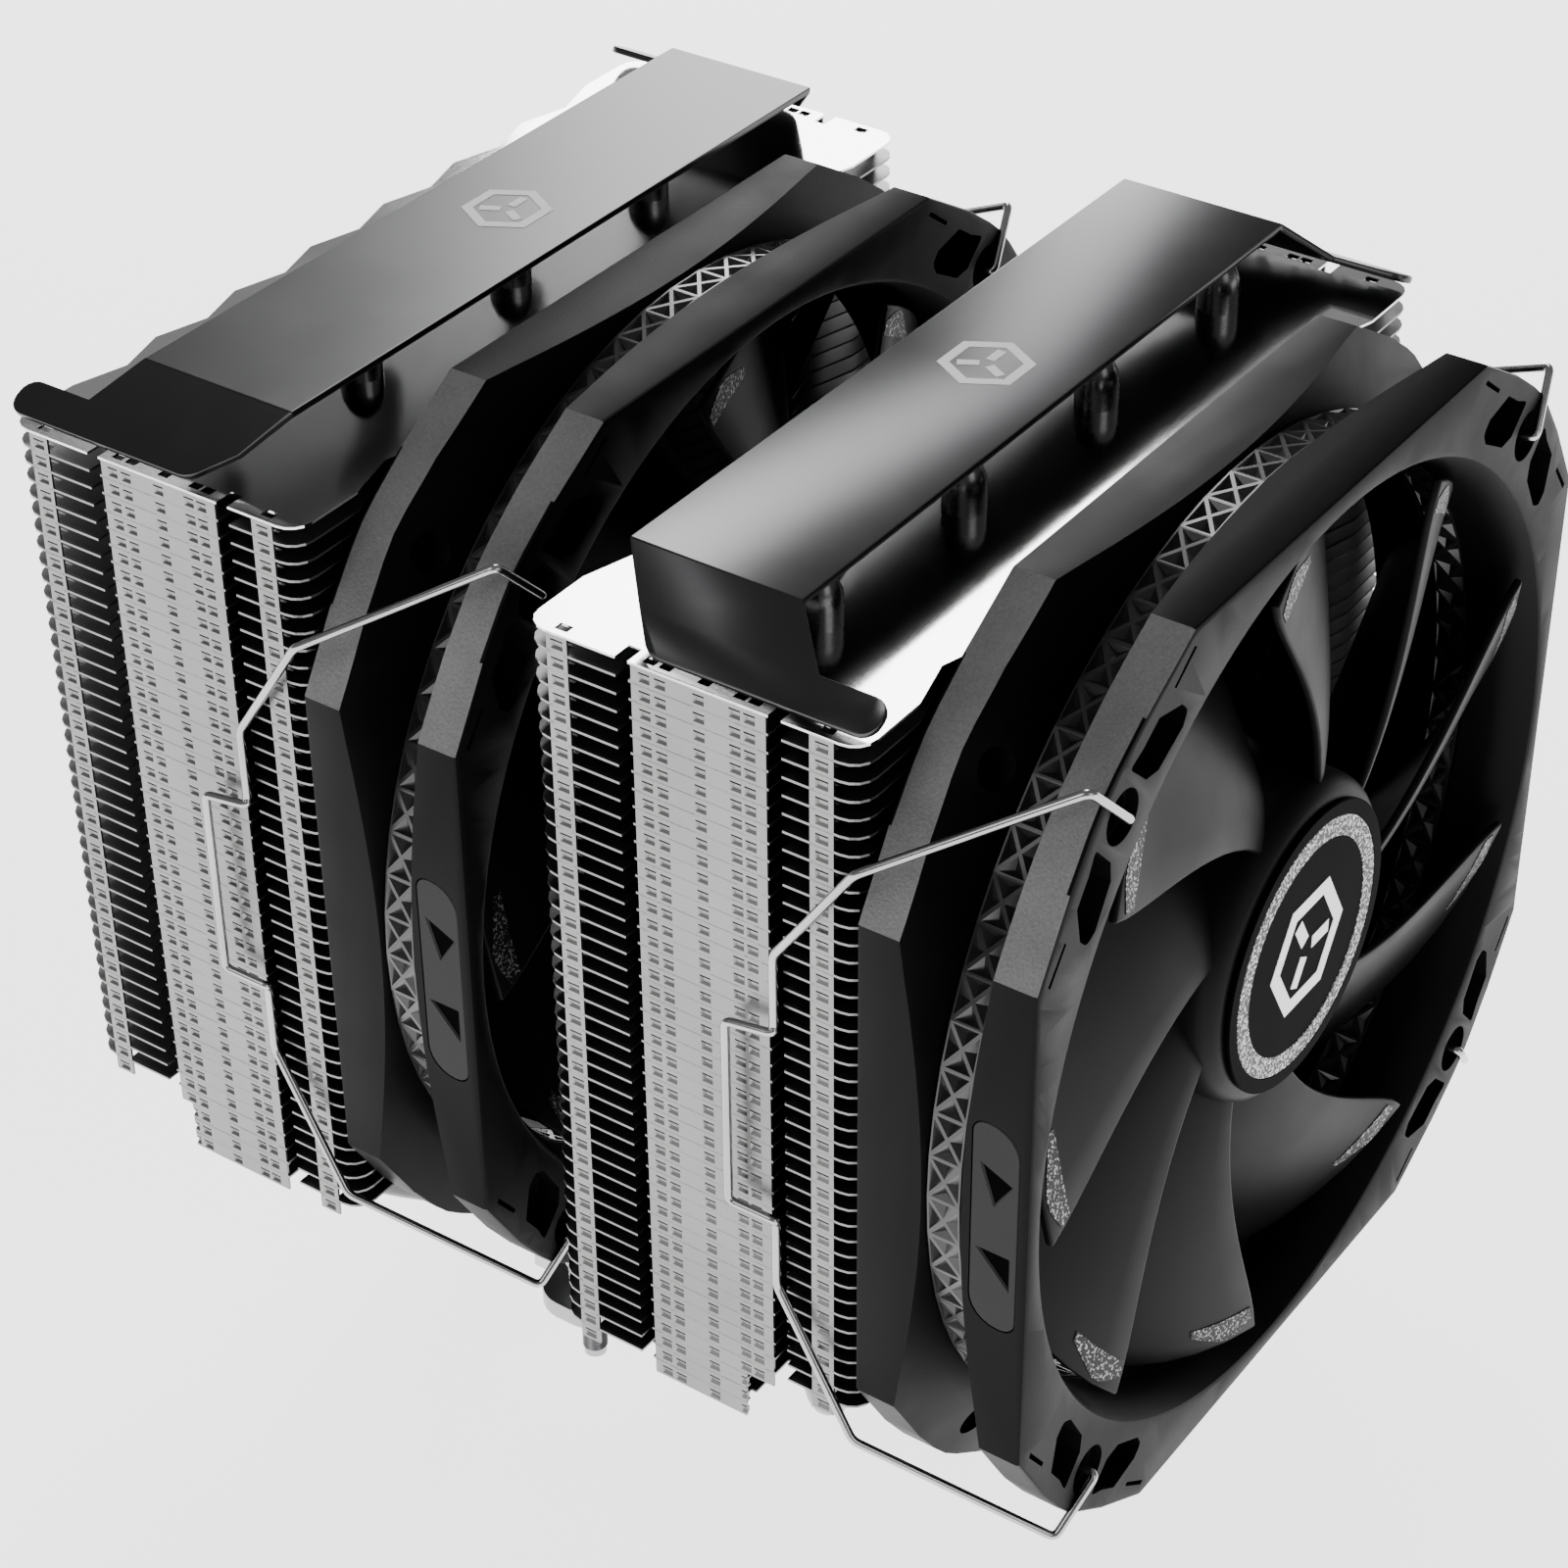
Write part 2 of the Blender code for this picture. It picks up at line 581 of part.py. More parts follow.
def make_spring(name, x):
    low = CROSSBAR_TOP_Z + GAP + SPRING_WIRE
    high = SCREW_HEAD_TOP - SCREW_HEAD_HEIGHT - GAP - SPRING_WIRE
    steps = SPRING_TURNS * 8
    points = []
    for index in range(steps + 1):
        angle = 2 * math.pi * SPRING_TURNS * index / steps
        height = low + (high - low) * index / steps
        points.append((x + SPRING_RADIUS * math.cos(angle), SPRING_RADIUS * math.sin(angle), height))
    return keep(curve_object(name, points, SPRING_WIRE), STEEL)


def clip_points(front_y, side):
    """Half of a clip, from the hook in the upper hole down to the middle of the fin groove."""
    hook_x = FAN_HOLE_SPACING / 2
    hook_z = FAN_HOLE_SPACING / 2
    front = front_y - CLIP_RADIUS - GAP * 2
    groove_y = front_y + CLIP_GROOVE_Y
    handle_y = front_y + CLIP_HANDLE_Y
    path = [(hook_x, front_y + CLIP_HOOK_DEPTH, hook_z), (hook_x, front, hook_z),
            (hook_x + 0.0052, front, hook_z + 0.0062), (hook_x + 0.0085, front + 0.0012, 0.0592),
            (0.0618, front_y + 0.0052, 0.0588), (CLIP_SIDE_X, front_y + 0.0244, 0.0455),
            (CLIP_REST_X, groove_y, 0.0267), (CLIP_REST_X, groove_y, 0.0160),
            ((CLIP_REST_X + CLIP_HANDLE_X) / 2, groove_y - 0.0003, 0.0152),
            (CLIP_HANDLE_X, handle_y, 0.0146), (CLIP_HANDLE_X, handle_y, 0.0)]
    return [(side * x, y, z) for x, y, z in path]


def make_clip(name, front_y, side):
    upper = clip_points(front_y, side)
    lower = [(x, y, -z) for x, y, z in reversed(upper[:-1])]
    points = [(x, y, FAN_CENTRE_Z + z) for x, y, z in upper + lower]
    pivot = Vector((side * FAN_HOLE_SPACING / 2, front_y, FAN_CENTRE_Z))
    local = [tuple(Vector(point) - pivot) for point in points]
    clip = curve_object(name, local, CLIP_RADIUS)
    clip.location = pivot
    return keep(clip, STEEL)


def main():
    make_base()
    make_crossbar()
    for word, x in (("left", -SCREW_X), ("right", SCREW_X)):
        make_captive_screw(word + "_captive_screw", x)
        make_spring(word + "_screw_spring", x)
    make_heat_pipes()
    make_fin_stack("front_fin_stack", -1)
    make_fin_stack("rear_fin_stack", 1)
    make_top_cover("front_top_cover", -1)
    make_top_cover("rear_top_cover", 1)
    for prefix, front_y in (("front_fan", FRONT_FAN_Y), ("middle_fan", MIDDLE_FAN_Y)):
        make_fan(prefix, front_y)
        for word, side in (("left", -1), ("right", 1)):
            make_clip(prefix + "_" + word + "_clip", front_y, side)


main()
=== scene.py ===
import math
import bmesh
import bpy
from mathutils import Matrix, Vector


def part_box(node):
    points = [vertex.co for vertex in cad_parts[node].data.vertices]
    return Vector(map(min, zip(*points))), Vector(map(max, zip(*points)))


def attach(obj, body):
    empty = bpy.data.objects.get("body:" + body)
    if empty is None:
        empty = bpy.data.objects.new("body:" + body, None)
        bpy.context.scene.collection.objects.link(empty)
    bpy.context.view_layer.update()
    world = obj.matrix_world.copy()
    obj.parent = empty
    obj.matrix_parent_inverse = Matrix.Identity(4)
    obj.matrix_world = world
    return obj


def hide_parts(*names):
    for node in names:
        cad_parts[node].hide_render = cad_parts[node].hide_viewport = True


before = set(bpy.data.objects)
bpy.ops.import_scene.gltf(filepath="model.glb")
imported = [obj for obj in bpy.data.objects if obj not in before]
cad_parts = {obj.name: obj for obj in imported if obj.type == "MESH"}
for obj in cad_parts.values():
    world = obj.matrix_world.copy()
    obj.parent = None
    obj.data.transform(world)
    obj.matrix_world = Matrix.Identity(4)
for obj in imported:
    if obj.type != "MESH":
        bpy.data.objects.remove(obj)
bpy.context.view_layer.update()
print("frame loaded")


# small tools, used by every piece

def freeHands():
    if bpy.context.mode != "OBJECT":
        bpy.ops.object.mode_set(mode="OBJECT")
    bpy.ops.object.select_all(action="DESELECT")


def takeUp(part):
    freeHands()
    part.select_set(True)
    bpy.context.view_layer.objects.active = part


def named(name):
    part = bpy.context.object
    part.name = name
    part.data.name = name
    return part


def settle(part):
    # the place, turn and size go into the mesh
    takeUp(part)
    bpy.ops.object.transform_apply(location=True, rotation=True, scale=True)
    return part


def addBox(name, low, high):
    low, high = Vector(low), Vector(high)
    freeHands()
    bpy.ops.mesh.primitive_cube_add(size=1, location=(low + high) / 2, scale=high - low)
    return settle(named(name))


def addRod(name, radius, start, end, sides=32):
    start, end = Vector(start), Vector(end)
    turn = (end - start).to_track_quat("Z", "Y").to_euler()
    freeHands()
    bpy.ops.mesh.primitive_cylinder_add(vertices=sides, radius=radius, depth=(end - start).length,
                                        location=(start + end) / 2, rotation=turn)
    return settle(named(name))


def addLoop(name, points, fill="NOTHING"):
    # a circle whose corners are set out on the points
    freeHands()
    bpy.ops.mesh.primitive_circle_add(vertices=len(points), radius=0.01, fill_type=fill)
    part = named(name)
    for corner, point in zip(part.data.vertices, points):
        corner.co = point
    return part


def pick(part, kind, test):
    # edit mode, with only what passes the test selected
    if bpy.context.object != part or bpy.context.mode != "EDIT_MESH":
        takeUp(part)
        bpy.ops.object.mode_set(mode="EDIT")
    bpy.ops.mesh.select_mode(type={"verts": "VERT", "edges": "EDGE", "faces": "FACE"}[kind])
    bpy.ops.mesh.select_all(action="DESELECT")
    work = bmesh.from_edit_mesh(part.data)
    for item in getattr(work, kind):
        if test(item):
            item.select_set(True)
    work.select_flush_mode()
    bmesh.update_edit_mesh(part.data)


def pushOut(move):
    # extrude what is selected
    bpy.ops.mesh.extrude_region_move(TRANSFORM_OT_translate={"value": move})


def tidyMesh(part, turnOut=True):
    pick(part, "verts", lambda corner: True)
    bpy.ops.mesh.remove_doubles(threshold=0.000002)
    if turnOut:
        bpy.ops.mesh.normals_make_consistent(inside=False)
    freeHands()
    return part


def spinRound(name, profile, steps, centre=(0, 0, 0), axis="Y"):
    # a closed profile of (radius, height) points, spun once round the axis
    points = [(r, h, 0) if axis == "Y" else (r, 0, h) for r, h in profile]
    part = addLoop(name, points)
    pick(part, "verts", lambda corner: True)
    spinAxis = (0, 1, 0) if axis == "Y" else (0, 0, 1)
    bpy.ops.mesh.spin(steps=steps, angle=2 * math.pi, center=(0, 0, 0), axis=spinAxis)
    tidyMesh(part)
    part.location = centre
    return settle(part)


def modify(part, kind, **settings):
    takeUp(part)
    extra = part.modifiers.new(kind.lower(), kind)
    for key, value in settings.items():
        setattr(extra, key, value)
    bpy.ops.object.modifier_apply(modifier=extra.name)
    return part


def carve(part, tool, operation="DIFFERENCE"):
    modify(part, "BOOLEAN", object=tool, operation=operation, solver="EXACT")
    bpy.data.objects.remove(tool)
    return part


def softEdges(part, width, segments=2, angle=35):
    modify(part, "BEVEL", width=width, segments=segments, limit_method="ANGLE",
           angle_limit=math.radians(angle))
    smooth(part, angle)
    return modify(part, "WEIGHTED_NORMAL", keep_sharp=True)


def smooth(part, angle=35):
    takeUp(part)
    bpy.ops.object.shade_smooth_by_angle(angle=math.radians(angle))
    return part


def joinAll(name, parts):
    freeHands()
    for part in parts:
        part.select_set(True)
    bpy.context.view_layer.objects.active = parts[0]
    bpy.ops.object.join()
    return named(name)


def copyOf(part, shift=(0, 0, 0), turn=0.0, axis="Y"):
    # a copy with its own mesh, turned about the axis and then moved
    takeUp(part)
    bpy.ops.object.duplicate(linked=False)
    other = bpy.context.object
    other.data.transform(Matrix.Translation(Vector(shift)) @ Matrix.Rotation(turn, 4, axis))
    return other


def flipped(part, axis):
    # mirrored in the mesh, with its faces turned out again
    scale = [1, 1, 1]
    scale["XYZ".index(axis)] = -1
    part.data.transform(Matrix.Diagonal((*scale, 1)))
    part.data.flip_normals()
    return part


def addWire(name, points, radius, sides=12, radii=None):
    # a round wire along the points, thinner where its radii say so
    freeHands()
    bpy.ops.curve.primitive_bezier_curve_add()
    wire = named(name)
    wire.data.splines.clear()
    spline = wire.data.splines.new("POLY")
    spline.points.add(len(points) - 1)
    for index, point in enumerate(points):
        spline.points[index].co = (*point, 1)
        spline.points[index].radius = radii[index] if radii else 1
    wire.data.dimensions = "3D"
    wire.data.bevel_depth = radius
    wire.data.bevel_resolution = max(0, sides // 4)
    wire.data.use_fill_caps = True
    takeUp(wire)
    bpy.ops.object.convert(target="MESH")
    return smooth(tidyMesh(wire), 50)


def roundedPath(points, reach, steps=6):
    # straight runs whose corners are eased by a short curve
    points = [Vector(point) for point in points]
    path = [points[0]]
    for before, corner, after in zip(points, points[1:], points[2:]):
        near = min(reach, (corner - before).length * 0.45)
        far = min(reach, (after - corner).length * 0.45)
        start = corner + (before - corner).normalized() * near
        end = corner + (after - corner).normalized() * far
        for step in range(steps + 1):
            t = step / steps
            path.append(start * (1 - t) ** 2 + corner * 2 * t * (1 - t) + end * t * t)
    path.append(points[-1])
    return path


# shader maths

class Amount:
    # a number in a shader, so that sums are written as sums
    def __init__(self, shade, socket):
        self.shade = shade
        self.socket = socket

    def join(self, operation, first, second, clamp=False):
        settings = dict(operation=operation, use_clamp=clamp)
        node = self.shade.add("ShaderNodeMath", settings, {0: first, 1: second})
        return Amount(self.shade, node.outputs[0])

    def __add__(self, other):
        return self.join("ADD", self, other)

    def __radd__(self, other):
        return self.join("ADD", other, self)

    def __sub__(self, other):
        return self.join("SUBTRACT", self, other)

    def __rsub__(self, other):
        return self.join("SUBTRACT", other, self)

    def __mul__(self, other):
        return self.join("MULTIPLY", self, other)

    def __rmul__(self, other):
        return self.join("MULTIPLY", other, self)

    def __gt__(self, other):
        return self.join("GREATER_THAN", self, other)

    def __lt__(self, other):
        return self.join("LESS_THAN", self, other)

    def size(self):
        return self.join("ABSOLUTE", self, 0.0)


class Shade:
    # a material with its Principled shader
    def __init__(self, name, **constants):
        self.material = bpy.data.materials.new(name)
        self.material.use_nodes = True
        self.tree = self.material.node_tree
        self.shader = self.tree.nodes["Principled BSDF"]
        for key, value in constants.items():
            self.shader.inputs["IOR" if key == "ior" else key.title()].default_value = value

    def add(self, kind, settings, inputs):
        node = self.tree.nodes.new(kind)
        for key, value in settings.items():
            setattr(node, key, value)
        for key, value in inputs.items():
            self.feed(node.inputs[key], value)
        return node

    def feed(self, socket, value):
        if isinstance(value, Amount):
            self.tree.links.new(value.socket, socket)
        elif isinstance(value, bpy.types.NodeSocket):
            self.tree.links.new(value, socket)
        else:
            socket.default_value = value

    def place(self, scale=(1, 1, 1)):
        where = self.add("ShaderNodeTexCoord", {}, {}).outputs["Object"]
        return self.add("ShaderNodeMapping", {}, {"Vector": where, "Scale": scale}).outputs[0]

    def axis(self, letter):
        node = self.add("ShaderNodeSeparateXYZ", {}, {0: self.place()})
        return Amount(self, node.outputs[letter])

    def noise(self, scale, detail=3.0, rough=0.55, stretch=(1, 1, 1)):
        node = self.add("ShaderNodeTexNoise", {}, {"Vector": self.place(stretch), "Scale": scale,
                                                   "Detail": detail, "Roughness": rough})
        return Amount(self, node.outputs["Fac"])

    def spread(self, amount, low, high, fromLow=0.3, fromHigh=0.7):
        node = self.add("ShaderNodeMapRange", {}, {"Value": amount, "From Min": fromLow, "From Max": fromHigh,
                                                   "To Min": low, "To Max": high})
        return Amount(self, node.outputs["Result"])

    def blend(self, amount, first, second):
        node = self.add("ShaderNodeMix", dict(data_type="RGBA"), {"Factor": amount})
        self.feed(node.inputs[6], (*first, 1) if isinstance(first, tuple) else first)
        self.feed(node.inputs[7], (*second, 1) if isinstance(second, tuple) else second)
        return node.outputs[2]

    def colour(self, value):
        self.feed(self.shader.inputs["Base Color"], value)

    def rough(self, value):
        self.feed(self.shader.inputs["Roughness"], value)

    def bump(self, height, distance, strength=1.0):
        node = self.add("ShaderNodeBump", {}, {"Height": height, "Distance": distance, "Strength": strength})
        self.tree.links.new(node.outputs[0], self.shader.inputs["Normal"])


def grey(value):
    return (value, value, value)


def grainedPlastic(name, dark, light, roughness, grain, size, gloss=1.2):
    # gloss is the index that sets how much the surface mirrors
    shade = Shade(name, ior=gloss)
    fine = shade.noise(size, 2.0)
    broad = shade.noise(60, 3.0)
    shade.colour(shade.blend(shade.spread(broad * 0.6 + fine * 0.4, 0, 1, 0.35, 0.65), dark, light))
    shade.rough(shade.spread(broad, roughness - 0.05, roughness + 0.06))
    shade.bump(fine, grain)
    return shade.material


def platedMetal(name, dark, light, low, high, grain=0.00001, size=900, stretch=(1, 1, 1)):
    shade = Shade(name, metallic=1.0)
    fine = shade.noise(size, 3.0, stretch=stretch)
    broad = shade.noise(45, 3.0)
    shade.colour(shade.blend(shade.spread(broad, 0, 1), dark, light))
    shade.rough(shade.spread(broad * 0.5 + fine * 0.5, low, high, 0.35, 0.65))
    shade.bump(fine, grain)
    return shade.material


def stippledMetal(name, dark, light, size, share):
    # bright grains standing out of a dark ground
    shade = Shade(name, metallic=0.6)
    fine = shade.noise(size, 1.0)
    grains = shade.spread(fine, 0, 1, share, share + 0.06)
    shade.colour(shade.blend(grains, dark, light))
    shade.rough(0.55 - grains * 0.2)
    shade.bump(grains, 0.00008)
    return shade.material


# painted light and shade for the fins: the top sheet keeps the bright colour, the folded sides and the sheet
# between the fins are darkened as painted shade
finLightAndShade = dict(topZ=0.15515, sideX=0.06745, top=(0.80, 0.80, 0.795), side=(0.25, 0.25, 0.248),
                  sideDeeperShade=(0.20, 0.20, 0.198), inner=grey(0.16))


def finSheet():
    # bright on top, darker along the folded sides and darkest between the fins; the side and inner colours are
    # painted shade
    m = finLightAndShade
    shade = Shade("nickel_sheet_painted_shade", metallic=1.0)
    broad = shade.noise(45, 3.0)
    fine = shade.noise(1600, 2.0)
    onTop = shade.axis("Z") > m["topZ"]
    onShadedSide = shade.axis("X").size() > m["sideX"]
    # painted shade: the sides darker than the top with a random darker tone, and the sheet between the fins
    # darker still
    sideShadeColour = shade.blend(shade.spread(broad, 0, 1), m["sideDeeperShade"], m["side"])
    colour = shade.blend(onShadedSide, m["inner"], sideShadeColour)
    shade.colour(shade.blend(onTop, colour, m["top"]))
    shade.rough(shade.spread(broad * 0.7 + fine * 0.3, 0.30, 0.38) - onTop * 0.24)
    shade.bump(fine, 0.0000015)
    return shade.material


finishes = dict(
    cover=platedMetal("satin_black_metal", (0.060, 0.060, 0.062), (0.070, 0.070, 0.072), 0.28, 0.33,
                      0.000002, 3000),
    fin=finSheet(),
    # painted shade: the nickel pipes get a near-black colour, standing in for the shade under the covers
    pipe=platedMetal("nickel_pipe_painted_shade", grey(0.08), grey(0.12), 0.22, 0.32, 0.000002, 1200),
    base=platedMetal("nickel_block", (0.42, 0.42, 0.415), (0.50, 0.50, 0.495), 0.20, 0.30,
                     0.000003, 1500, (1, 12, 1)),
    bar=platedMetal("plated_bar", (0.30, 0.30, 0.31), (0.38, 0.38, 0.39), 0.30, 0.42,
                    0.000005, 1400, (12, 1, 1)),
    wire=platedMetal("spring_wire", grey(0.34), grey(0.44), 0.16, 0.26, 0.000002, 1600),
    copper=platedMetal("wound_copper", (0.42, 0.20, 0.10), (0.58, 0.30, 0.17), 0.34, 0.46,
                       0.00004, 700, (1, 14, 1)),
    brass=platedMetal("sleeve_brass", (0.50, 0.38, 0.18), (0.60, 0.47, 0.24), 0.24, 0.34),
    stipple=stippledMetal("stippled_tip", grey(0.012), grey(0.26), 2400, 0.55),
    ring=stippledMetal("stippled_silver", grey(0.03), grey(0.38), 2400, 0.51),
    frame=grainedPlastic("satin_black_plastic", grey(0.0022), grey(0.0038), 0.45, 0.00002, 2600, 1.13),
    # painted light: a paler grey, given only to the upward-facing corner faces of the fan plates
    diagonal=grainedPlastic("grained_plastic_painted_light", grey(0.110), grey(0.180), 0.55, 0.00010, 2600, 1.25),
    rotor=grainedPlastic("satin_grey_plastic", grey(0.004), grey(0.0055), 0.42, 0.00001, 2400, 1.15),
    pyramid=grainedPlastic("polished_black_plastic", grey(0.010), grey(0.014), 0.22, 0.000004, 1500, 1.55),
    inlay=grainedPlastic("smooth_grey_plastic", (0.020, 0.020, 0.0204), (0.026, 0.026, 0.0264), 0.44,
                         0.00001, 2600, 1.16),
    badge=grainedPlastic("glossy_black_disc", grey(0.001), grey(0.0015), 0.30, 0.000001, 900, 1.03),
    emblem=grainedPlastic("white_print", grey(0.92), grey(0.96), 0.50, 0.000002, 1800, 1.4),
)


def finish(part, look, body, slotName, *nodes):
    part.data.materials.clear()
    part.data.materials.append(finishes[look])
    if nodes:
        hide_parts(*nodes)
    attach(part, body)
    return part


def paintNode(node, look):
    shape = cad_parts[node]
    for place in shape.material_slots:
        place.material = finishes[look]
    if not shape.material_slots:
        shape.data.materials.append(finishes[look])


print("materials ready")


# camera, floor and light

view = dict(azimuth=-54.822, elevation=35.252, roll=0.548, distance=0.4862,
            target=(-0.0383, -0.0351, 0.1210), lens=87.09)


def setCamera():
    turn, rise, roll = (math.radians(view[key]) for key in ("azimuth", "elevation", "roll"))
    back = Vector((math.sin(turn) * math.cos(rise), -math.cos(turn) * math.cos(rise), math.sin(rise)))
    right = Vector((math.cos(turn), math.sin(turn), 0))
    up = back.cross(right)
    across = right * math.cos(roll) - up * math.sin(roll)
    upward = right * math.sin(roll) + up * math.cos(roll)
    spot = Vector(view["target"]) + back * view["distance"]
    freeHands()
    bpy.ops.object.camera_add()
    camera = bpy.context.object
    camera.matrix_world = Matrix.Translation(spot) @ Matrix((across, upward, back)).transposed().to_4x4()
    camera.data.lens = view["lens"]
    camera.data.sensor_width = 36
    camera.data.clip_start = 0.01
    camera.data.clip_end = 20
    bpy.context.scene.camera = camera


studio = dict(floorSize=30.0, floorColour=(0.90, 0.90, 0.90), floorGlow=2.6, worldGrey=0.24,
              lamps=(("overhead_strip", (0.95, 0.64, 0.78), (0.01, -0.01, 0.165), (0.29, 1.5), 13.5),
                     ("left_softbox", (-0.95, 0.20, 0.95), (-0.04, -0.05, 0.14), (0.55, 0.55), 3.0),
                     ("front_fill", (-0.35, -1.30, 0.75), (0.0, 0.0, 0.09), (0.7, 0.7), 3.0)))


def setStudio():
    freeHands()
    bpy.ops.mesh.primitive_plane_add(size=studio["floorSize"], location=(0, 0, -0.0002))
    floor = named("studio_floor")
    shade = Shade("pale_floor", roughness=0.9)
    cloud = shade.noise(3, 2.0)
    pale = studio["floorColour"]
    shade.colour(shade.blend(cloud, pale, tuple(value * 1.02 for value in pale)))
    shade.shader.inputs["Emission Color"].default_value = (1, 1, 1, 1)
    shade.shader.inputs["Emission Strength"].default_value = studio["floorGlow"]
    floor.data.materials.append(shade.material)
    world = bpy.data.worlds.new("studio_world")
    world.use_nodes = True
    level = studio["worldGrey"]
    world.node_tree.nodes["Background"].inputs[0].default_value = (level, level, level, 1)
    bpy.context.scene.world = world
    for name, place, aim, size, power in studio["lamps"]:
        freeHands()
        bpy.ops.object.light_add(type="AREA", location=place)
        lamp = bpy.context.object
        lamp.name = name
        lamp.data.shape = "RECTANGLE"
        lamp.data.size, lamp.data.size_y = size
        lamp.data.energy = power
        lamp.rotation_euler = (Vector(place) - Vector(aim)).to_track_quat("Z", "Y").to_euler()


setCamera()
setStudio()
print("camera, floor and light set")


# folded top covers

cover = dict(topX=0.0576, foldX=0.0627, footX=0.0676, topZ=0.16503, foldZ=0.1596, footZ=0.1572,
             back=-0.01595, front=0.00915, foldBack=-0.0110, foldFront=0.0148, heel=-0.0063,
             toe=0.0253, sheet=0.0010, toeRound=0.0030, edge=0.00022)


def towerMiddle(side):
    low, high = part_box("front_fin_stack" if side < 0 else "rear_fin_stack")
    return (low[1] + high[1]) / 2


def makeCover(name, node, side):
    c = cover
    freeHands()
    middle = (c["topX"] / 2, (c["back"] + c["front"]) / 2, c["topZ"])
    bpy.ops.mesh.primitive_plane_add(size=1, location=middle)
    sheet = named(name)
    sheet.scale = (c["topX"], c["front"] - c["back"], 1)
    settle(sheet)
    near = lambda value, goal: abs(value - goal) < 0.00005
    # the steep end
    pick(sheet, "edges", lambda e: all(near(v.co.x, c["topX"]) for v in e.verts))
    pushOut((c["foldX"] - c["topX"], 0, c["foldZ"] - c["topZ"]))
    for old, new in ((c["back"], c["foldBack"]), (c["front"], c["foldFront"])):
        pick(sheet, "verts", lambda v: near(v.co.x, c["foldX"]) and near(v.co.y, old))
        bpy.ops.transform.translate(value=(0, new - old, 0))
    # the foot, with its heel cut back
    pick(sheet, "edges", lambda e: all(near(v.co.x, c["foldX"]) for v in e.verts))
    pushOut((c["footX"] - c["foldX"], 0, c["footZ"] - c["foldZ"]))
    pick(sheet, "verts", lambda v: near(v.co.x, c["footX"]) and near(v.co.y, c["foldBack"]))
    bpy.ops.transform.translate(value=(0, c["heel"] - c["foldBack"], 0))
    # the arm
    onArm = lambda v: near(v.co.y, c["foldFront"]) and v.co.x > c["foldX"] - 0.0001
    pick(sheet, "edges", lambda e: all(onArm(v) for v in e.verts))
    pushOut((0, c["toe"] - c["foldFront"], 0))
    pick(sheet, "verts", lambda v: near(v.co.y, c["toe"]))
    bpy.ops.mesh.bevel(offset=c["toeRound"] * 0.8, segments=5, affect="VERTICES")
    pick(sheet, "verts", lambda v: near(v.co.x, c["footX"]) and near(v.co.y, c["heel"]))
    bpy.ops.mesh.bevel(offset=c["toeRound"] * 0.5, segments=3, affect="VERTICES")
    freeHands()
    modify(sheet, "MIRROR", use_axis=(True, False, False), merge_threshold=0.00005)
    tidyMesh(sheet)
    if sum(face.normal.z for face in sheet.data.polygons) < 0:
        sheet.data.flip_normals()
    modify(sheet, "SOLIDIFY", thickness=c["sheet"], offset=-1, use_even_offset=True)
    softEdges(sheet, c["edge"], 2, 25)
    if side < 0:
        flipped(sheet, "Y")
    sheet.location = (0, towerMiddle(side), 0)
    settle(sheet)
    finish(sheet, "cover", "root", "cover_metal", node)


emblem = dict(reach=0.0064, ring=0.0014, bar=0.0013, start=0.0009, end=0.0038, lift=0.00006)


def makeEmblem(name):
    # a plain six-sided ring round three spokes, flat on z = 0
    e = emblem
    angles = [math.radians(60 * k) for k in range(6)]
    ring = addLoop(name, [(e["reach"] * math.cos(a), e["reach"] * math.sin(a), 0) for a in angles], "NGON")
    pick(ring, "faces", lambda f: True)
    bpy.ops.mesh.inset(thickness=e["ring"])
    bpy.ops.mesh.delete(type="FACE")
    freeHands()
    half = e["bar"] / 2
    start, end = e["start"], e["end"]
    spoke = addLoop("spoke", [(start, -half, 0), (end, -half, 0), (end, half, 0), (start, half, 0)], "NGON")
    parts = [ring, spoke] + [copyOf(spoke, turn=math.radians(120 * k), axis="Z") for k in (1, 2)]
    mark = joinAll(name, parts)
    pick(mark, "faces", lambda face: face.normal.z < 0)
    bpy.ops.mesh.flip_normals()
    freeHands()
    return modify(mark, "SOLIDIFY", thickness=e["lift"], offset=1)


def makeCovers():
    for word, side in (("front", -1), ("rear", 1)):
        makeCover(word + "_cover", word + "_top_cover", side)
        mark = makeEmblem(word + "_cover_emblem")
        mark.location = (0.002, towerMiddle(side) - side * 0.0034, cover["topZ"])
        settle(mark)
        finish(mark, "emblem", "root", "cover_metal")
    print("covers made")


makeCovers()


# heat pipes

pipe = dict(radius=0.0030, sides=24, tipZ=0.1627, count=7, baseStep=0.0068, towerStep=0.0160,
            bendY=0.0235, baseZ=0.0080, riseZ=0.0385, steps=20,
            ends=((0.0045, 1.0), (0.0028, 0.94), (0.0014, 0.74), (0.0005, 0.50), (0.0, 0.30)))


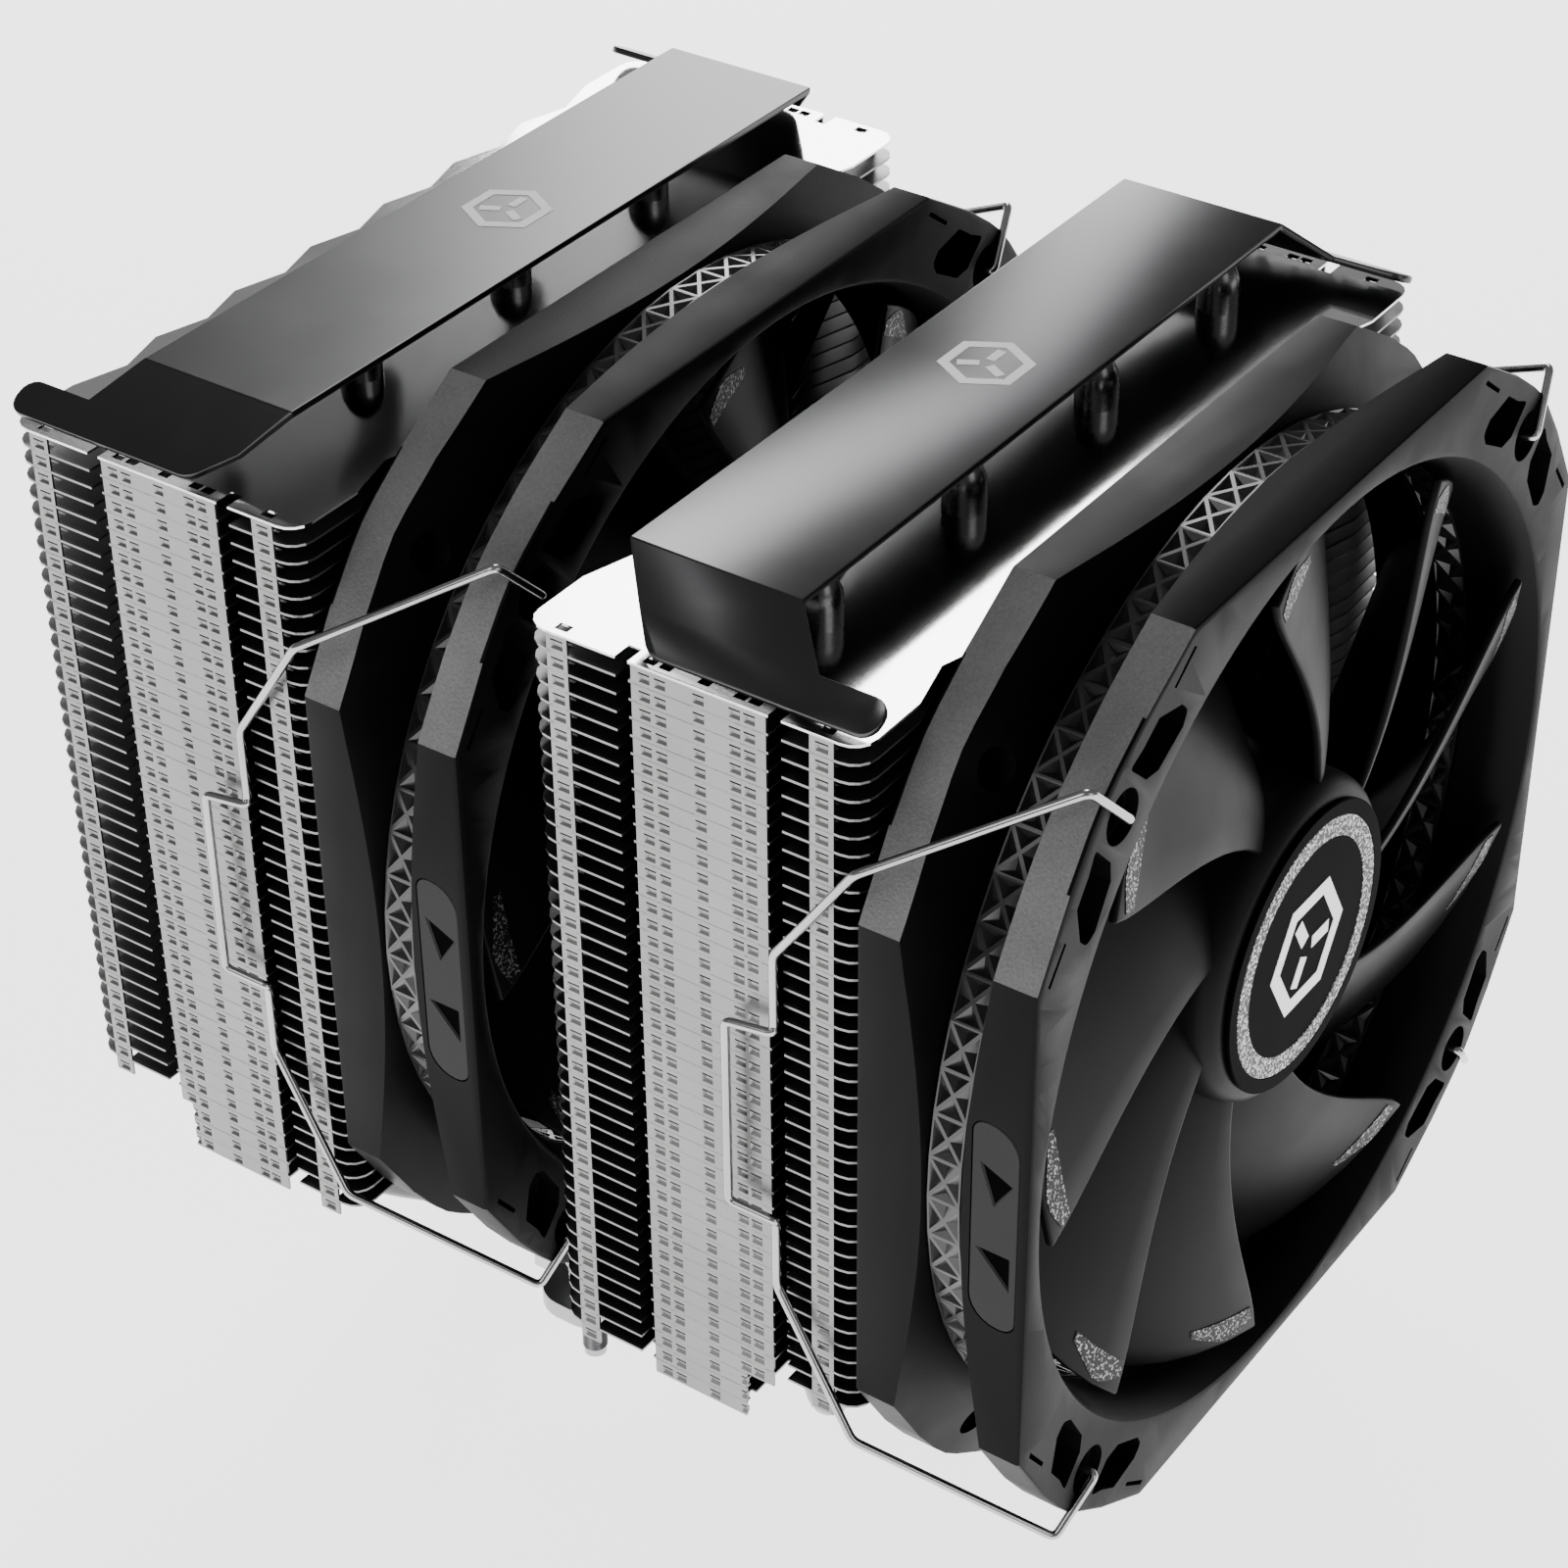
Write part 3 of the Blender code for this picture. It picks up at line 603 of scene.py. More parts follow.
def makePipes():
    # each pipe runs flat in the base, bends up on both sides and narrows to its tips
    p = pipe
    for number in range(1, p["count"] + 1):
        node = "heat_pipe_%d" % number
        far = number % 2 == 1
        offset = number - 1 - (p["count"] - 1) / 2
        towerX = offset * p["towerStep"]
        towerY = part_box(node)[1][1] - p["radius"]
        runShare, riseShare = (0.50, 0.80) if far else (0.95, 0.40)
        start = Vector((offset * p["baseStep"], p["bendY"], p["baseZ"]))
        end = Vector((towerX, towerY, p["riseZ"]))
        first = start + Vector((0, (towerY - p["bendY"]) * runShare, 0))
        second = end - Vector((0, 0, (p["riseZ"] - p["baseZ"]) * riseShare))
        half = []
        for step in range(p["steps"] + 1):
            t = step / p["steps"]
            u = 1 - t
            half.append(start * u ** 3 + first * 3 * t * u ** 2 + second * 3 * t * t * u + end * t ** 3)
        tip = p["tipZ"] - (0.0 if far else 0.0006)
        half += [Vector((towerX, towerY, tip - drop)) for drop, _ in p["ends"]]
        widths = [1.0] * (p["steps"] + 1) + [width for _, width in p["ends"]]
        back = [Vector((spot.x, -spot.y, spot.z)) for spot in reversed(half)]
        widths = widths[::-1] + widths
        tube = addWire("pipe_%d" % number, back + half, p["radius"] * 0.995, p["sides"], widths)
        finish(tube, "pipe", "root", "pipe_nickel", node)
    print("heat pipes made")


makePipes()


# fin stacks

fins = dict(count=45, sheet=0.00034, pitch=0.002608, halfX=0.068, flange=0.00252, topZ=0.1555,
            tabs=((0.0035, 0.0066), (0.0161, 0.0356), (0.0417, 0.0451)),
            notches=((0.0138, 0.0157), (0.0359, 0.0378)), notchDepth=0.0030,
            marks=((0.0041, 0.0060), (0.0172, 0.0189), (0.0195, 0.0212), (0.0251, 0.0268), (0.0303, 0.0320),
                   (0.0324, 0.0341), (0.0425, 0.0444)),
            dent=0.00035, wave=0.0022, corner=0.0032, stepRel=0.0311, stepZ=0.0464)


def gridSheet(name, across, along, height=0.0):
    # a flat grid whose lines are moved to the given places
    freeHands()
    bpy.ops.mesh.primitive_grid_add(x_subdivisions=len(across) - 1, y_subdivisions=len(along) - 1, size=2)
    sheet = named(name)
    for corner in sheet.data.vertices:
        column = round((corner.co.x + 1) / 2 * (len(across) - 1))
        row = round((corner.co.y + 1) / 2 * (len(along) - 1))
        corner.co = (across[column], along[row], height)
    return sheet


def makeFin(depth):
    # one fin lying at z = 0, with its rear edge at y = 0 and its front edge at y = -depth
    f = fins
    half = f["halfX"]
    ends = [half, half - 0.0009, half - 0.0023, half - f["notchDepth"]]
    inner = [0.008 * k for k in range(-7, 8)]
    across = sorted([-x for x in ends] + inner + ends)
    breaks = [0.0, depth] + [v for pair in f["tabs"] + f["notches"] + f["marks"] for v in pair]
    fin = gridSheet("fin", across, sorted(-v for v in breaks))
    # the long edges run in and out between the pipes
    for corner in fin.data.vertices:
        inward = f["wave"] * abs((corner.co.x / 0.016) % 1 - 0.5) * 2
        if abs(corner.co.x) < 0.0605 and corner.co.y > -0.0001:
            corner.co.y -= inward
        elif abs(corner.co.x) < 0.0605 and corner.co.y < -depth + 0.0001:
            corner.co.y += inward

    def isGap(face):
        spot = face.calc_center_median()
        rel = -spot.y
        if abs(spot.x) > half - f["notchDepth"] and any(a < rel < b for a, b in f["notches"]):
            return True
        return half - 0.0023 < abs(spot.x) < half - 0.0009 and any(a < rel < b for a, b in f["marks"])

    pick(fin, "faces", isGap)
    bpy.ops.mesh.delete(type="FACE")
    pick(fin, "faces", lambda face: True)
    bpy.ops.mesh.dissolve_limited(angle_limit=math.radians(1), delimit=set())
    atEnd = lambda v: v.co.y > -0.0001 or v.co.y < -depth + 0.0001
    pick(fin, "verts", lambda v: abs(v.co.x) > half - 0.0001 and atEnd(v))
    bpy.ops.mesh.bevel(offset=f["corner"], segments=4, affect="VERTICES")
    freeHands()
    return fin


def makeFlanges(side):
    # the folded ends that close the side, each with a pressed mark under a narrow slit
    f = fins
    parts = []
    foot = -f["flange"]
    heights = [foot, foot + 0.00035, foot + 0.00155, foot + 0.00175, 0.0]
    for start, end in f["tabs"]:
        inside = [m for m in f["marks"] if start < m[0] < end]
        lines = sorted([-start, -end] + [-v for m in inside for v in m])
        panel = gridSheet("flange", heights, lines)
        place = side * (f["halfX"] - f["sheet"] / 2)
        panel.data.transform(Matrix(((0, 0, 1, place), (0, 1, 0, 0), (1, 0, 0, 0), (0, 0, 0, 1))))

        def atMark(face, low, high):
            spot = face.calc_center_median()
            return heights[low] < spot.z < heights[high] and any(m[0] < -spot.y < m[1] for m in inside)

        pick(panel, "faces", lambda face: atMark(face, 2, 3))
        bpy.ops.mesh.delete(type="FACE")
        pick(panel, "faces", lambda face: atMark(face, 1, 2))
        bpy.ops.mesh.inset(thickness=0.00028, use_individual=True)
        bpy.ops.transform.translate(value=(-side * f["dent"], 0, 0))
        freeHands()
        parts.append(panel)
    return parts


def makeStack(name, node, side):
    f = fins
    low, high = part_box(node)
    depth = high[1] - low[1]
    whole = joinAll("fin_with_flanges", [makeFin(depth)] + makeFlanges(-1) + makeFlanges(1))
    tidyMesh(whole, turnOut=False)
    modify(whole, "SOLIDIFY", thickness=f["sheet"], offset=0, use_even_offset=False)
    tidyMesh(whole)
    whole.data.transform(Matrix.Translation((0, high[1], 0)))
    short = copyOf(whole)
    # the lowest fins stop short on the outer side
    edge = high[1] - f["stepRel"] if side < 0 else low[1] + f["stepRel"]
    pick(short, "verts", lambda v: True)
    bpy.ops.mesh.bisect(plane_co=(0, edge, 0), plane_no=(0, 1, 0), use_fill=True,
                        clear_inner=side < 0, clear_outer=side > 0)
    freeHands()
    copies = []
    for index in range(f["count"]):
        z = f["topZ"] - f["sheet"] / 2 - index * f["pitch"]
        if z - f["flange"] < low[2]:
            break
        source = whole if z - f["flange"] > f["stepZ"] else short
        copies.append(copyOf(source, shift=(0, 0, z)))
    bpy.data.objects.remove(whole)
    bpy.data.objects.remove(short)
    stack = joinAll(name, copies)
    print(name, len(copies), "fins", sum(len(face.vertices) - 2 for face in stack.data.polygons), "triangles")
    finish(stack, "fin", "root", "fin_nickel", node)


makeStack("front_fins", "front_fin_stack", -1)
makeStack("rear_fins", "rear_fin_stack", 1)


# fans, made once about their own centre and then copied to their places

fan = dict(half=0.070, depth=0.0249, centreZ=0.095, band=0.0695, bandDepth=0.0098,
           plateEdge=0.0049, mouth=0.0676, bore=0.0650, core=0.0676, edge=0.00055, hole=0.0028,
           holePlace=0.0525, recess=0.0036, recessDepth=0.0016, pocketDepth=0.0038, steps=120,
           motorPlate=0.0225, motorThick=0.0025, strutWidth=0.0050,
           wide=0.083, outer=(0.0772, 0.0067), inner=(0.0726, 0.0085),
           pocket=((0.0775, 0.0050), (0.0722, 0.0052), (0.0700, 0.0070), (0.0684, 0.0130), (0.0690, 0.0150),
                   (0.0712, 0.0150), (0.0757, 0.0120), (0.0764, 0.0080)),
           slit=((0.0738, 0.0215), (0.0745, 0.0214), (0.0752, 0.0160), (0.0746, 0.0160)),
           corner=((0.0374, 0.0700), (0.0480, 0.0636), (0.0540, 0.0592), (0.0568, 0.0568), (0.0592, 0.0540),
                   (0.0636, 0.0480), (0.0700, 0.0374)))
fanSpots = (("front_fan", -0.0925), ("middle_fan", -0.0075))


def fanOutline():
    points = []
    for turn in range(4):
        for across, up in fan["corner"]:
            spot = Matrix.Rotation(-turn * math.pi / 2, 2) @ Vector((across, up))
            points.append((spot.x, 0.0, spot.y))
    return points


def makeOutlineBlock():
    # the plates' outline as a solid, with its front and rear edges taken off
    block = addLoop("outline_block", fanOutline(), "NGON")
    pick(block, "faces", lambda face: True)
    pushOut((0, fan["depth"], 0))
    tidyMesh(block)
    depth = fan["depth"]
    flat = lambda e, y: all(abs(v.co.y - y) < 0.00001 for v in e.verts)
    pick(block, "edges", lambda e: flat(e, 0) or flat(e, depth))
    bpy.ops.mesh.bevel(offset=fan["edge"], segments=2, affect="EDGES")
    return tidyMesh(block)


def diagonal(out, across, turn):
    # a place given along and across one of the fan's diagonals
    angle = math.radians(45 + 90 * turn)
    c, s = math.cos(angle), math.sin(angle)
    return (out * c - across * s, out * s + across * c)


def makePocket(side, turn, start, depth):
    points = []
    for out, across in fan["pocket"]:
        x, z = diagonal(out, side * across, turn)
        points.append((x, start, z))
    pocket = addLoop("pocket", points, "NGON")
    pick(pocket, "faces", lambda face: True)
    pushOut((0, depth, 0))
    tidyMesh(pocket)
    sharp = math.radians(60)
    return modify(pocket, "BEVEL", width=0.0007, segments=2, limit_method="ANGLE", angle_limit=sharp)


def makeSlit(turn, side, start):
    # a thin slot in the rim, close to the end of a flat
    points = []
    for out, across in fan["slit"]:
        x, z = diagonal(out, side * across, turn)
        points.append((x, start, z))
    slit = addLoop("slit", points, "NGON")
    pick(slit, "faces", lambda face: True)
    pushOut((0, 0.0024, 0))
    return tidyMesh(slit)


def makeFrame():
    f = fan
    depth = f["depth"]
    bore, mouth, wide = f["bore"], f["mouth"], f["wide"]
    outX, outY = f["outer"]
    inX, inY = f["inner"]
    # from the rear mouth round the outside to the front mouth, then back along the bore
    profile = [(bore, depth - 0.0012), (bore + 0.0006, depth), (wide, depth), (wide, depth - f["plateEdge"]),
               (outX, depth - outY), (inX, depth - inY), (f["band"], depth - f["bandDepth"]),
               (f["core"], depth - f["bandDepth"]), (f["core"], f["bandDepth"]), (f["band"], f["bandDepth"]),
               (inX, inY), (outX, outY), (wide, f["plateEdge"]), (wide, 0.0), (mouth, 0.0),
               (mouth - 0.0004, 0.0002), (mouth - 0.0008, 0.0008), (bore + 0.0008, 0.0030),
               (bore + 0.0002, 0.0044), (bore, 0.0058), (bore, 0.0098), (bore + 0.0009, 0.0104),
               (bore + 0.0009, 0.0150), (bore, 0.0156)]
    body = spinRound("fan_frame", profile, f["steps"])
    carve(body, makeOutlineBlock(), "INTERSECT")
    place = f["holePlace"]
    spots = [(x * place, z * place) for x in (-1, 1) for z in (-1, 1)]
    holes = [addRod("hole", f["hole"], (x, -0.003, z), (x, depth + 0.003, z), 32) for x, z in spots]
    carve(body, joinAll("holes", holes))
    cuts = []
    for x, z in spots:
        for low, high in ((-0.002, f["recessDepth"]), (depth - f["recessDepth"], depth + 0.002)):
            cuts.append(addRod("recess", f["recess"], (x, low, z), (x, high, z), 40))
    for turn in range(4):
        for side in (-1, 1):
            cuts.append(makePocket(side, turn, -0.001, f["pocketDepth"] + 0.001))
            cuts.append(makePocket(side, turn, depth - f["pocketDepth"], f["pocketDepth"] + 0.001))
            cuts.append(makeSlit(turn, side, -0.0005))
    for side in (-1, 1):
        cuts.append(inlayShape("inlay_recess", side, f["half"] - 0.0008, f["half"] + 0.002, 0.00012))
    carve(body, joinAll("cuts", cuts))
    smooth(body, 28)
    # the motor plate and its four arms
    reach, inside = f["motorPlate"], depth - f["motorThick"]
    profile = [(0.0049, inside), (0.0049, depth - 0.0012), (0.0, depth - 0.0012), (0.0, depth),
               (reach - 0.0005, depth), (reach, depth - 0.0005), (reach, inside)]
    plate = spinRound("motor_plate", profile, 64)
    arms = [smooth(plate, 30)]
    for turn in range(4):
        half = f["strutWidth"] / 2
        arm = addBox("arm", (reach - 0.003, inside + 0.0001, -half), (bore + 0.001, depth - 0.0001, half))
        pick(arm, "edges", lambda e: abs(e.verts[0].co.x - e.verts[1].co.x) > 0.01)
        bpy.ops.mesh.bevel(offset=0.0008, segments=3, affect="EDGES")
        freeHands()
        arm.data.transform(Matrix.Rotation(math.radians(45 + 90 * turn), 4, "Y"))
        arms.append(smooth(arm, 30))
    return joinAll("fan_frame", [body] + arms)


band = dict(cells=70, outer=0.0695, inner=0.0680, low=0.0101, high=0.0148, ridge=0.00026, pit=0.00075,
            innerCells=66, innerWall=0.0008, innerLow=0.0103, innerHigh=0.0151)


def makePyramidRing(name, radius, wall, low, high, cells, outward=True):
    b = band
    width = 2 * radius * math.sin(math.pi / cells)
    reach = radius * math.cos(math.pi / cells)
    freeHands()
    bpy.ops.mesh.primitive_plane_add(size=1)
    cell = named("pyramid_cell")
    cell.scale = (width, high - low, 1)
    settle(cell)
    # a ridged cross with a pit in each of its four corners
    pick(cell, "faces", lambda face: True)
    bpy.ops.mesh.poke(offset=0)
    pick(cell, "faces", lambda face: True)
    bpy.ops.mesh.inset(thickness=b["ridge"], use_individual=True)
    bpy.ops.mesh.poke(offset=-b["pit"])
    freeHands()
    cell.data.transform(Matrix.Translation((0, (low + high) / 2, reach)))
    if not outward:
        cell.data.transform(Matrix.Translation((0, 0, 2 * reach)) @ Matrix.Diagonal((1, 1, -1, 1)))
    copies = [copyOf(cell, turn=2 * math.pi * k / cells) for k in range(1, cells)]
    ring = joinAll(name, [cell] + copies)
    tidyMesh(ring, turnOut=False)
    # the rims go in to the wall, and the wall closes behind
    for y in (low, high):
        pick(ring, "edges", lambda e: e.is_boundary and all(abs(v.co.y - y) < 0.00001 for v in e.verts))
        bpy.ops.mesh.extrude_edges_move()
        share = wall / radius
        bpy.ops.transform.resize(value=(share, 1, share), center_override=(0, y, 0))
    pick(ring, "edges", lambda e: e.is_boundary)
    bpy.ops.mesh.bridge_edge_loops()
    return tidyMesh(ring)


rotor = dict(hub=0.0235, front=0.0012, wall=0.0018, deep=0.0200, blades=9, root=0.0226, tip=0.0639, phase=25.0,
             sweep=-28.0, chordRoot=50.0, chordTip=43.0, lead=0.0035, leadTip=0.0008, trail=0.0205, bow=0.0016,
             thick=0.0012, rows=14, columns=9)


def bladePoint(share, along, lift=0.0):
    r = rotor
    radius = r["root"] + share * (r["tip"] - r["root"])
    lead = r["phase"] + r["sweep"] * max(0.0, 1 - share) ** 1.5
    chord = r["chordRoot"] + (r["chordTip"] - r["chordRoot"]) * share
    angle = math.radians(lead - chord * along)
    start = r["lead"] + (r["leadTip"] - r["lead"]) * share
    # the curve of the blade, flatter where it meets the air
    fall = 0.62 * along + 0.38 * along * along
    bow = r["bow"] * math.sin(math.pi * along) * (1 - 0.5 * share)
    depth = start + (r["trail"] - start) * fall - bow + lift
    return Vector((radius * math.cos(angle), depth, radius * math.sin(angle)))


def makeBlade():
    r = rotor
    shares = [k / (r["rows"] - 1) for k in range(r["rows"])]
    alongs = [k / (r["columns"] - 1) for k in range(r["columns"])]
    blade = gridSheet("blade", shares, alongs)
    for corner in blade.data.vertices:
        corner.co = bladePoint(corner.co.x, corner.co.y)
    tidyMesh(blade)
    modify(blade, "SOLIDIFY", thickness=r["thick"], offset=0, use_even_offset=True)
    pick(blade, "edges", lambda e: e.is_manifold and e.calc_face_angle(0) > 1.0)
    bpy.ops.mesh.bevel(offset=0.00035, segments=2, affect="EDGES")
    return smooth(tidyMesh(blade), 50)


def makeRotor():
    r = rotor
    front, hub, back = r["front"], r["hub"], r["front"] + r["deep"]
    inner = hub - r["wall"]
    profile = [(inner, back), (hub, back), (hub, front + 0.0042)]
    for k in range(1, 7):
        angle = math.pi / 2 * k / 6
        profile.append((hub - 0.0030 * (1 - math.cos(angle)), front + 0.0042 * (1 - math.sin(angle))))
    profile += [(0.0, front), (0.0, front + r["wall"]), (inner, front + r["wall"])]
    pieces = [smooth(spinRound("hub", profile, 96), 40)]
    blade = makeBlade()
    pieces += [copyOf(blade, turn=-2 * math.pi * k / r["blades"]) for k in range(1, r["blades"])]
    return joinAll("fan_rotor", pieces + [blade])


grip = dict(start=0.89, reach=0.10, lead=0.02, length=0.26, rows=3, columns=6, thick=0.00010)


def makeTipGrips():
    # a stippled patch at the forward tip of each blade, narrower at both its ends
    g = grip
    shares = [g["start"] + g["reach"] * k / g["rows"] for k in range(g["rows"] + 1)]
    alongs = [g["lead"] + g["length"] * k / g["columns"] for k in range(g["columns"] + 1)]
    patch = gridSheet("tip_grip", shares, alongs)
    lift = -rotor["thick"] / 2 - 0.00008
    for corner in patch.data.vertices:
        width = 0.4 + 0.6 * (1 - abs(corner.co.y - g["length"] / 2) / (g["length"] / 2))
        share = g["start"] + (corner.co.x - g["start"]) * width + 0.002
        corner.co = bladePoint(min(share, 0.995), corner.co.y, lift)
    modify(patch, "SOLIDIFY", thickness=g["thick"], offset=0)
    tidyMesh(patch)
    copies = [copyOf(patch, turn=-2 * math.pi * k / rotor["blades"]) for k in range(1, rotor["blades"])]
    return joinAll("tip_grips", [patch] + copies)


badge = dict(reach=0.0208, ringOut=0.0186, ringIn=0.0156, front=0.0003, back=0.0009, emblemScale=1.55)


def makeBadge():
    b = badge
    profile = [(0.0, b["back"]), (b["reach"], b["back"]), (b["reach"], b["front"] + 0.0002),
               (b["reach"] - 0.0002, b["front"]), (b["ringOut"] + 0.0001, b["front"]),
               (b["ringOut"] + 0.0001, b["front"] + 0.0003), (b["ringIn"] - 0.0001, b["front"] + 0.0003),
               (b["ringIn"] - 0.0001, b["front"] + 0.0001), (0.0, b["front"] + 0.0001)]
    return smooth(spinRound("hub_badge", profile, 96), 30)


def makeBadgeRing():
    b = badge
    profile = [(b["ringIn"], b["front"] + 0.0003), (b["ringOut"], b["front"] + 0.0003),
               (b["ringOut"], b["front"] + 0.00008), (b["ringOut"] - 0.0001, b["front"]),
               (b["ringIn"] + 0.0001, b["front"]), (b["ringIn"], b["front"] + 0.00008)]
    return smooth(spinRound("badge_ring", profile, 96), 30)


inlay = dict(low=0.0016, high=0.0082, half=0.0160, thick=0.0005, big=0.0042, small=0.0020, sunk=0.00025,
             signs=(((0.0024, 0.0075), (0.0070, 0.0096), (0.0050, 0.0036)),
                    ((0.0026, -0.0040), (0.0072, -0.0040), (0.0026, -0.0090))))


def inlayShape(name, side, inner, outer, grow=0.0):
    # a long panel with two broad and two tight corners
    i = inlay
    x = side * inner
    low, high, end = i["low"] - grow, i["high"] + grow, i["half"] + grow
    plate = addLoop(name, [(x, low, -end), (x, high, -end), (x, high, end), (x, low, end)], "NGON")
    pick(plate, "verts", lambda v: (v.co.y < 0.005) == (v.co.z > 0))
    bpy.ops.mesh.bevel(offset=i["big"], segments=6, affect="VERTICES")
    tight = lambda v: (v.co.y < 0.0030 and v.co.z < -0.0155) or (v.co.y > 0.0068 and v.co.z > 0.0155)
    pick(plate, "verts", tight)
    bpy.ops.mesh.bevel(offset=i["small"], segments=4, affect="VERTICES")
    pick(plate, "faces", lambda face: True)
    pushOut((side * (outer - inner), 0, 0))
    return tidyMesh(plate)


def makeInlay(side):
    plate = inlayShape("inlay", side, fan["half"] - inlay["thick"], fan["half"])
    floor = side * (fan["half"] - inlay["sunk"])
    for points in inlay["signs"]:
        tool = addLoop("triangle", [(floor, y, z) for y, z in points], "NGON")
        pick(tool, "faces", lambda face: True)
        pushOut((side * 0.001, 0, 0))
        carve(plate, tidyMesh(tool))
    modify(plate, "BEVEL", width=0.00012, segments=1, limit_method="ANGLE", angle_limit=math.radians(40))
    return tidyMesh(plate)


clip = dict(radius=0.00060, bend=0.0010, upper=(
    (0.0525, 0.0018, 0.0525), (0.0525, -0.0013, 0.0525), (0.0592, 0.0006, 0.0596), (0.0712, 0.0244, 0.0455),
    (0.0692, 0.0375, 0.0267), (0.0692, 0.0375, 0.0160), (0.0698, 0.0372, 0.0152), (0.0704, 0.0440, 0.0146)))


def makeClip(side):
    # hook, run to the side, handle, and the same again below
    c = clip
    lower = [(x, y, -z) for x, y, z in reversed(c["upper"])]
    points = [(side * x, y, z) for x, y, z in list(c["upper"]) + lower]
    return addWire("clip", roundedPath(points, c["bend"], 5), c["radius"], 16)


def placeFan(piece, frontY, name):
    other = copyOf(piece, shift=(0, frontY, fan["centreZ"]))
    other.name = name
    other.data.name = name
    return other


def darkenSigns(panel):
    # the sunken floors of the triangles are black
    panel.data.materials.append(finishes["badge"])
    floor = fan["half"] - inlay["sunk"]
    pick(panel, "faces", lambda f: abs(abs(f.calc_center_median().x) - floor) < 0.00003)
    panel.active_material_index = 1
    bpy.ops.object.material_slot_assign()
    freeHands()


def paintLightOnCorners(housing):
    # the upper corners of both plates get a coarser grain along their outer faces, and a paler colour there
    # that is painted light from above
    housing.data.materials.append(finishes["diagonal"])

    def isCorner(face):
        spot = face.calc_center_median()
        outside = math.hypot(spot.x, spot.z - fan["centreZ"]) > 0.0786
        return outside and face.normal.z > 0.45 and abs(face.normal.x) > 0.45 and face.calc_area() > 0.000004

    pick(housing, "faces", isCorner)
    housing.active_material_index = 1
    bpy.ops.object.material_slot_assign()
    freeHands()


def makeFans():
    framePiece = makeFrame()
    b = band
    outerRing = makePyramidRing("outer_ring", b["outer"], b["inner"], b["low"], b["high"], b["cells"])
    innerRing = makePyramidRing("inner_ring", fan["bore"], fan["bore"] + b["innerWall"], b["innerLow"],
                                b["innerHigh"], b["innerCells"], False)
    wheel = makeRotor()
    grips = makeTipGrips()
    disc = makeBadge()
    ring = makeBadgeRing()
    mark = makeEmblem("badge_emblem")
    upright = Matrix.Rotation(math.radians(90), 4, "X") @ Matrix.Scale(badge["emblemScale"], 4)
    mark.data.transform(Matrix.Translation((0, badge["front"] + 0.0001, 0)) @ upright)
    inlays = {side: makeInlay(side) for side in (-1, 1)}
    clips = {side: makeClip(side) for side in (-1, 1)}
    masters = [framePiece, outerRing, innerRing, wheel, grips, disc, ring, mark]
    masters += list(inlays.values()) + list(clips.values())
    for word, frontY in fanSpots:
        still, moving = "root", word + "_impeller"
        housing = placeFan(framePiece, frontY, word + "_housing")
        finish(housing, "frame", still, "fan_frame_plastic", word + "_frame")
        paintLightOnCorners(housing)
        outerBand = placeFan(outerRing, frontY, word + "_pyramid_band")
        finish(outerBand, "pyramid", still, "textured_plastic", word + "_textured_band")
        finish(placeFan(innerRing, frontY, word + "_inner_pyramids"), "pyramid", still, "textured_plastic")
        blades = placeFan(wheel, frontY, word + "_wheel")
        finish(blades, "rotor", moving, "fan_blade_plastic", word + "_rotor")
        finish(placeFan(grips, frontY, word + "_tip_grips"), "stipple", moving, "fan_blade_plastic")
        finish(placeFan(disc, frontY, word + "_disc"), "badge", moving, "badge_black", word + "_hub_badge")
        finish(placeFan(ring, frontY, word + "_badge_ring"), "ring", moving, "badge_black")
        finish(placeFan(mark, frontY, word + "_badge_emblem"), "emblem", moving, "badge_black")
        for side, hand in ((-1, "left"), (1, "right")):
            node = word + "_" + hand
            panel = placeFan(inlays[side], frontY, node + "_side_inlay")
            finish(panel, "inlay", still, "inlay_plastic", node + "_inlay")
            darkenSigns(panel)
            wire = placeFan(clips[side], frontY, node + "_wire")
            finish(wire, "wire", node + "_clip_body", "wire_steel", node + "_clip")
        paintNode(word + "_shaft", "wire")
        paintNode(word + "_bearing_sleeve", "brass")
        paintNode(word + "_stator", "copper")
    for master in masters:
        bpy.data.objects.remove(master)
    print("fans made")


makeFans()


# base, crossbar, screws and springs

mount = dict(halfX=0.0460, halfY=0.0065, low=0.0145, high=0.0175, round=0.0050, screwX=0.0390, hole=0.0022,
             shank=0.0019, head=0.0040, headTop=0.0245, headHigh=0.0026, slot=0.0022, end=0.0035,
             springReach=0.0031, springWire=0.00040, turns=4)


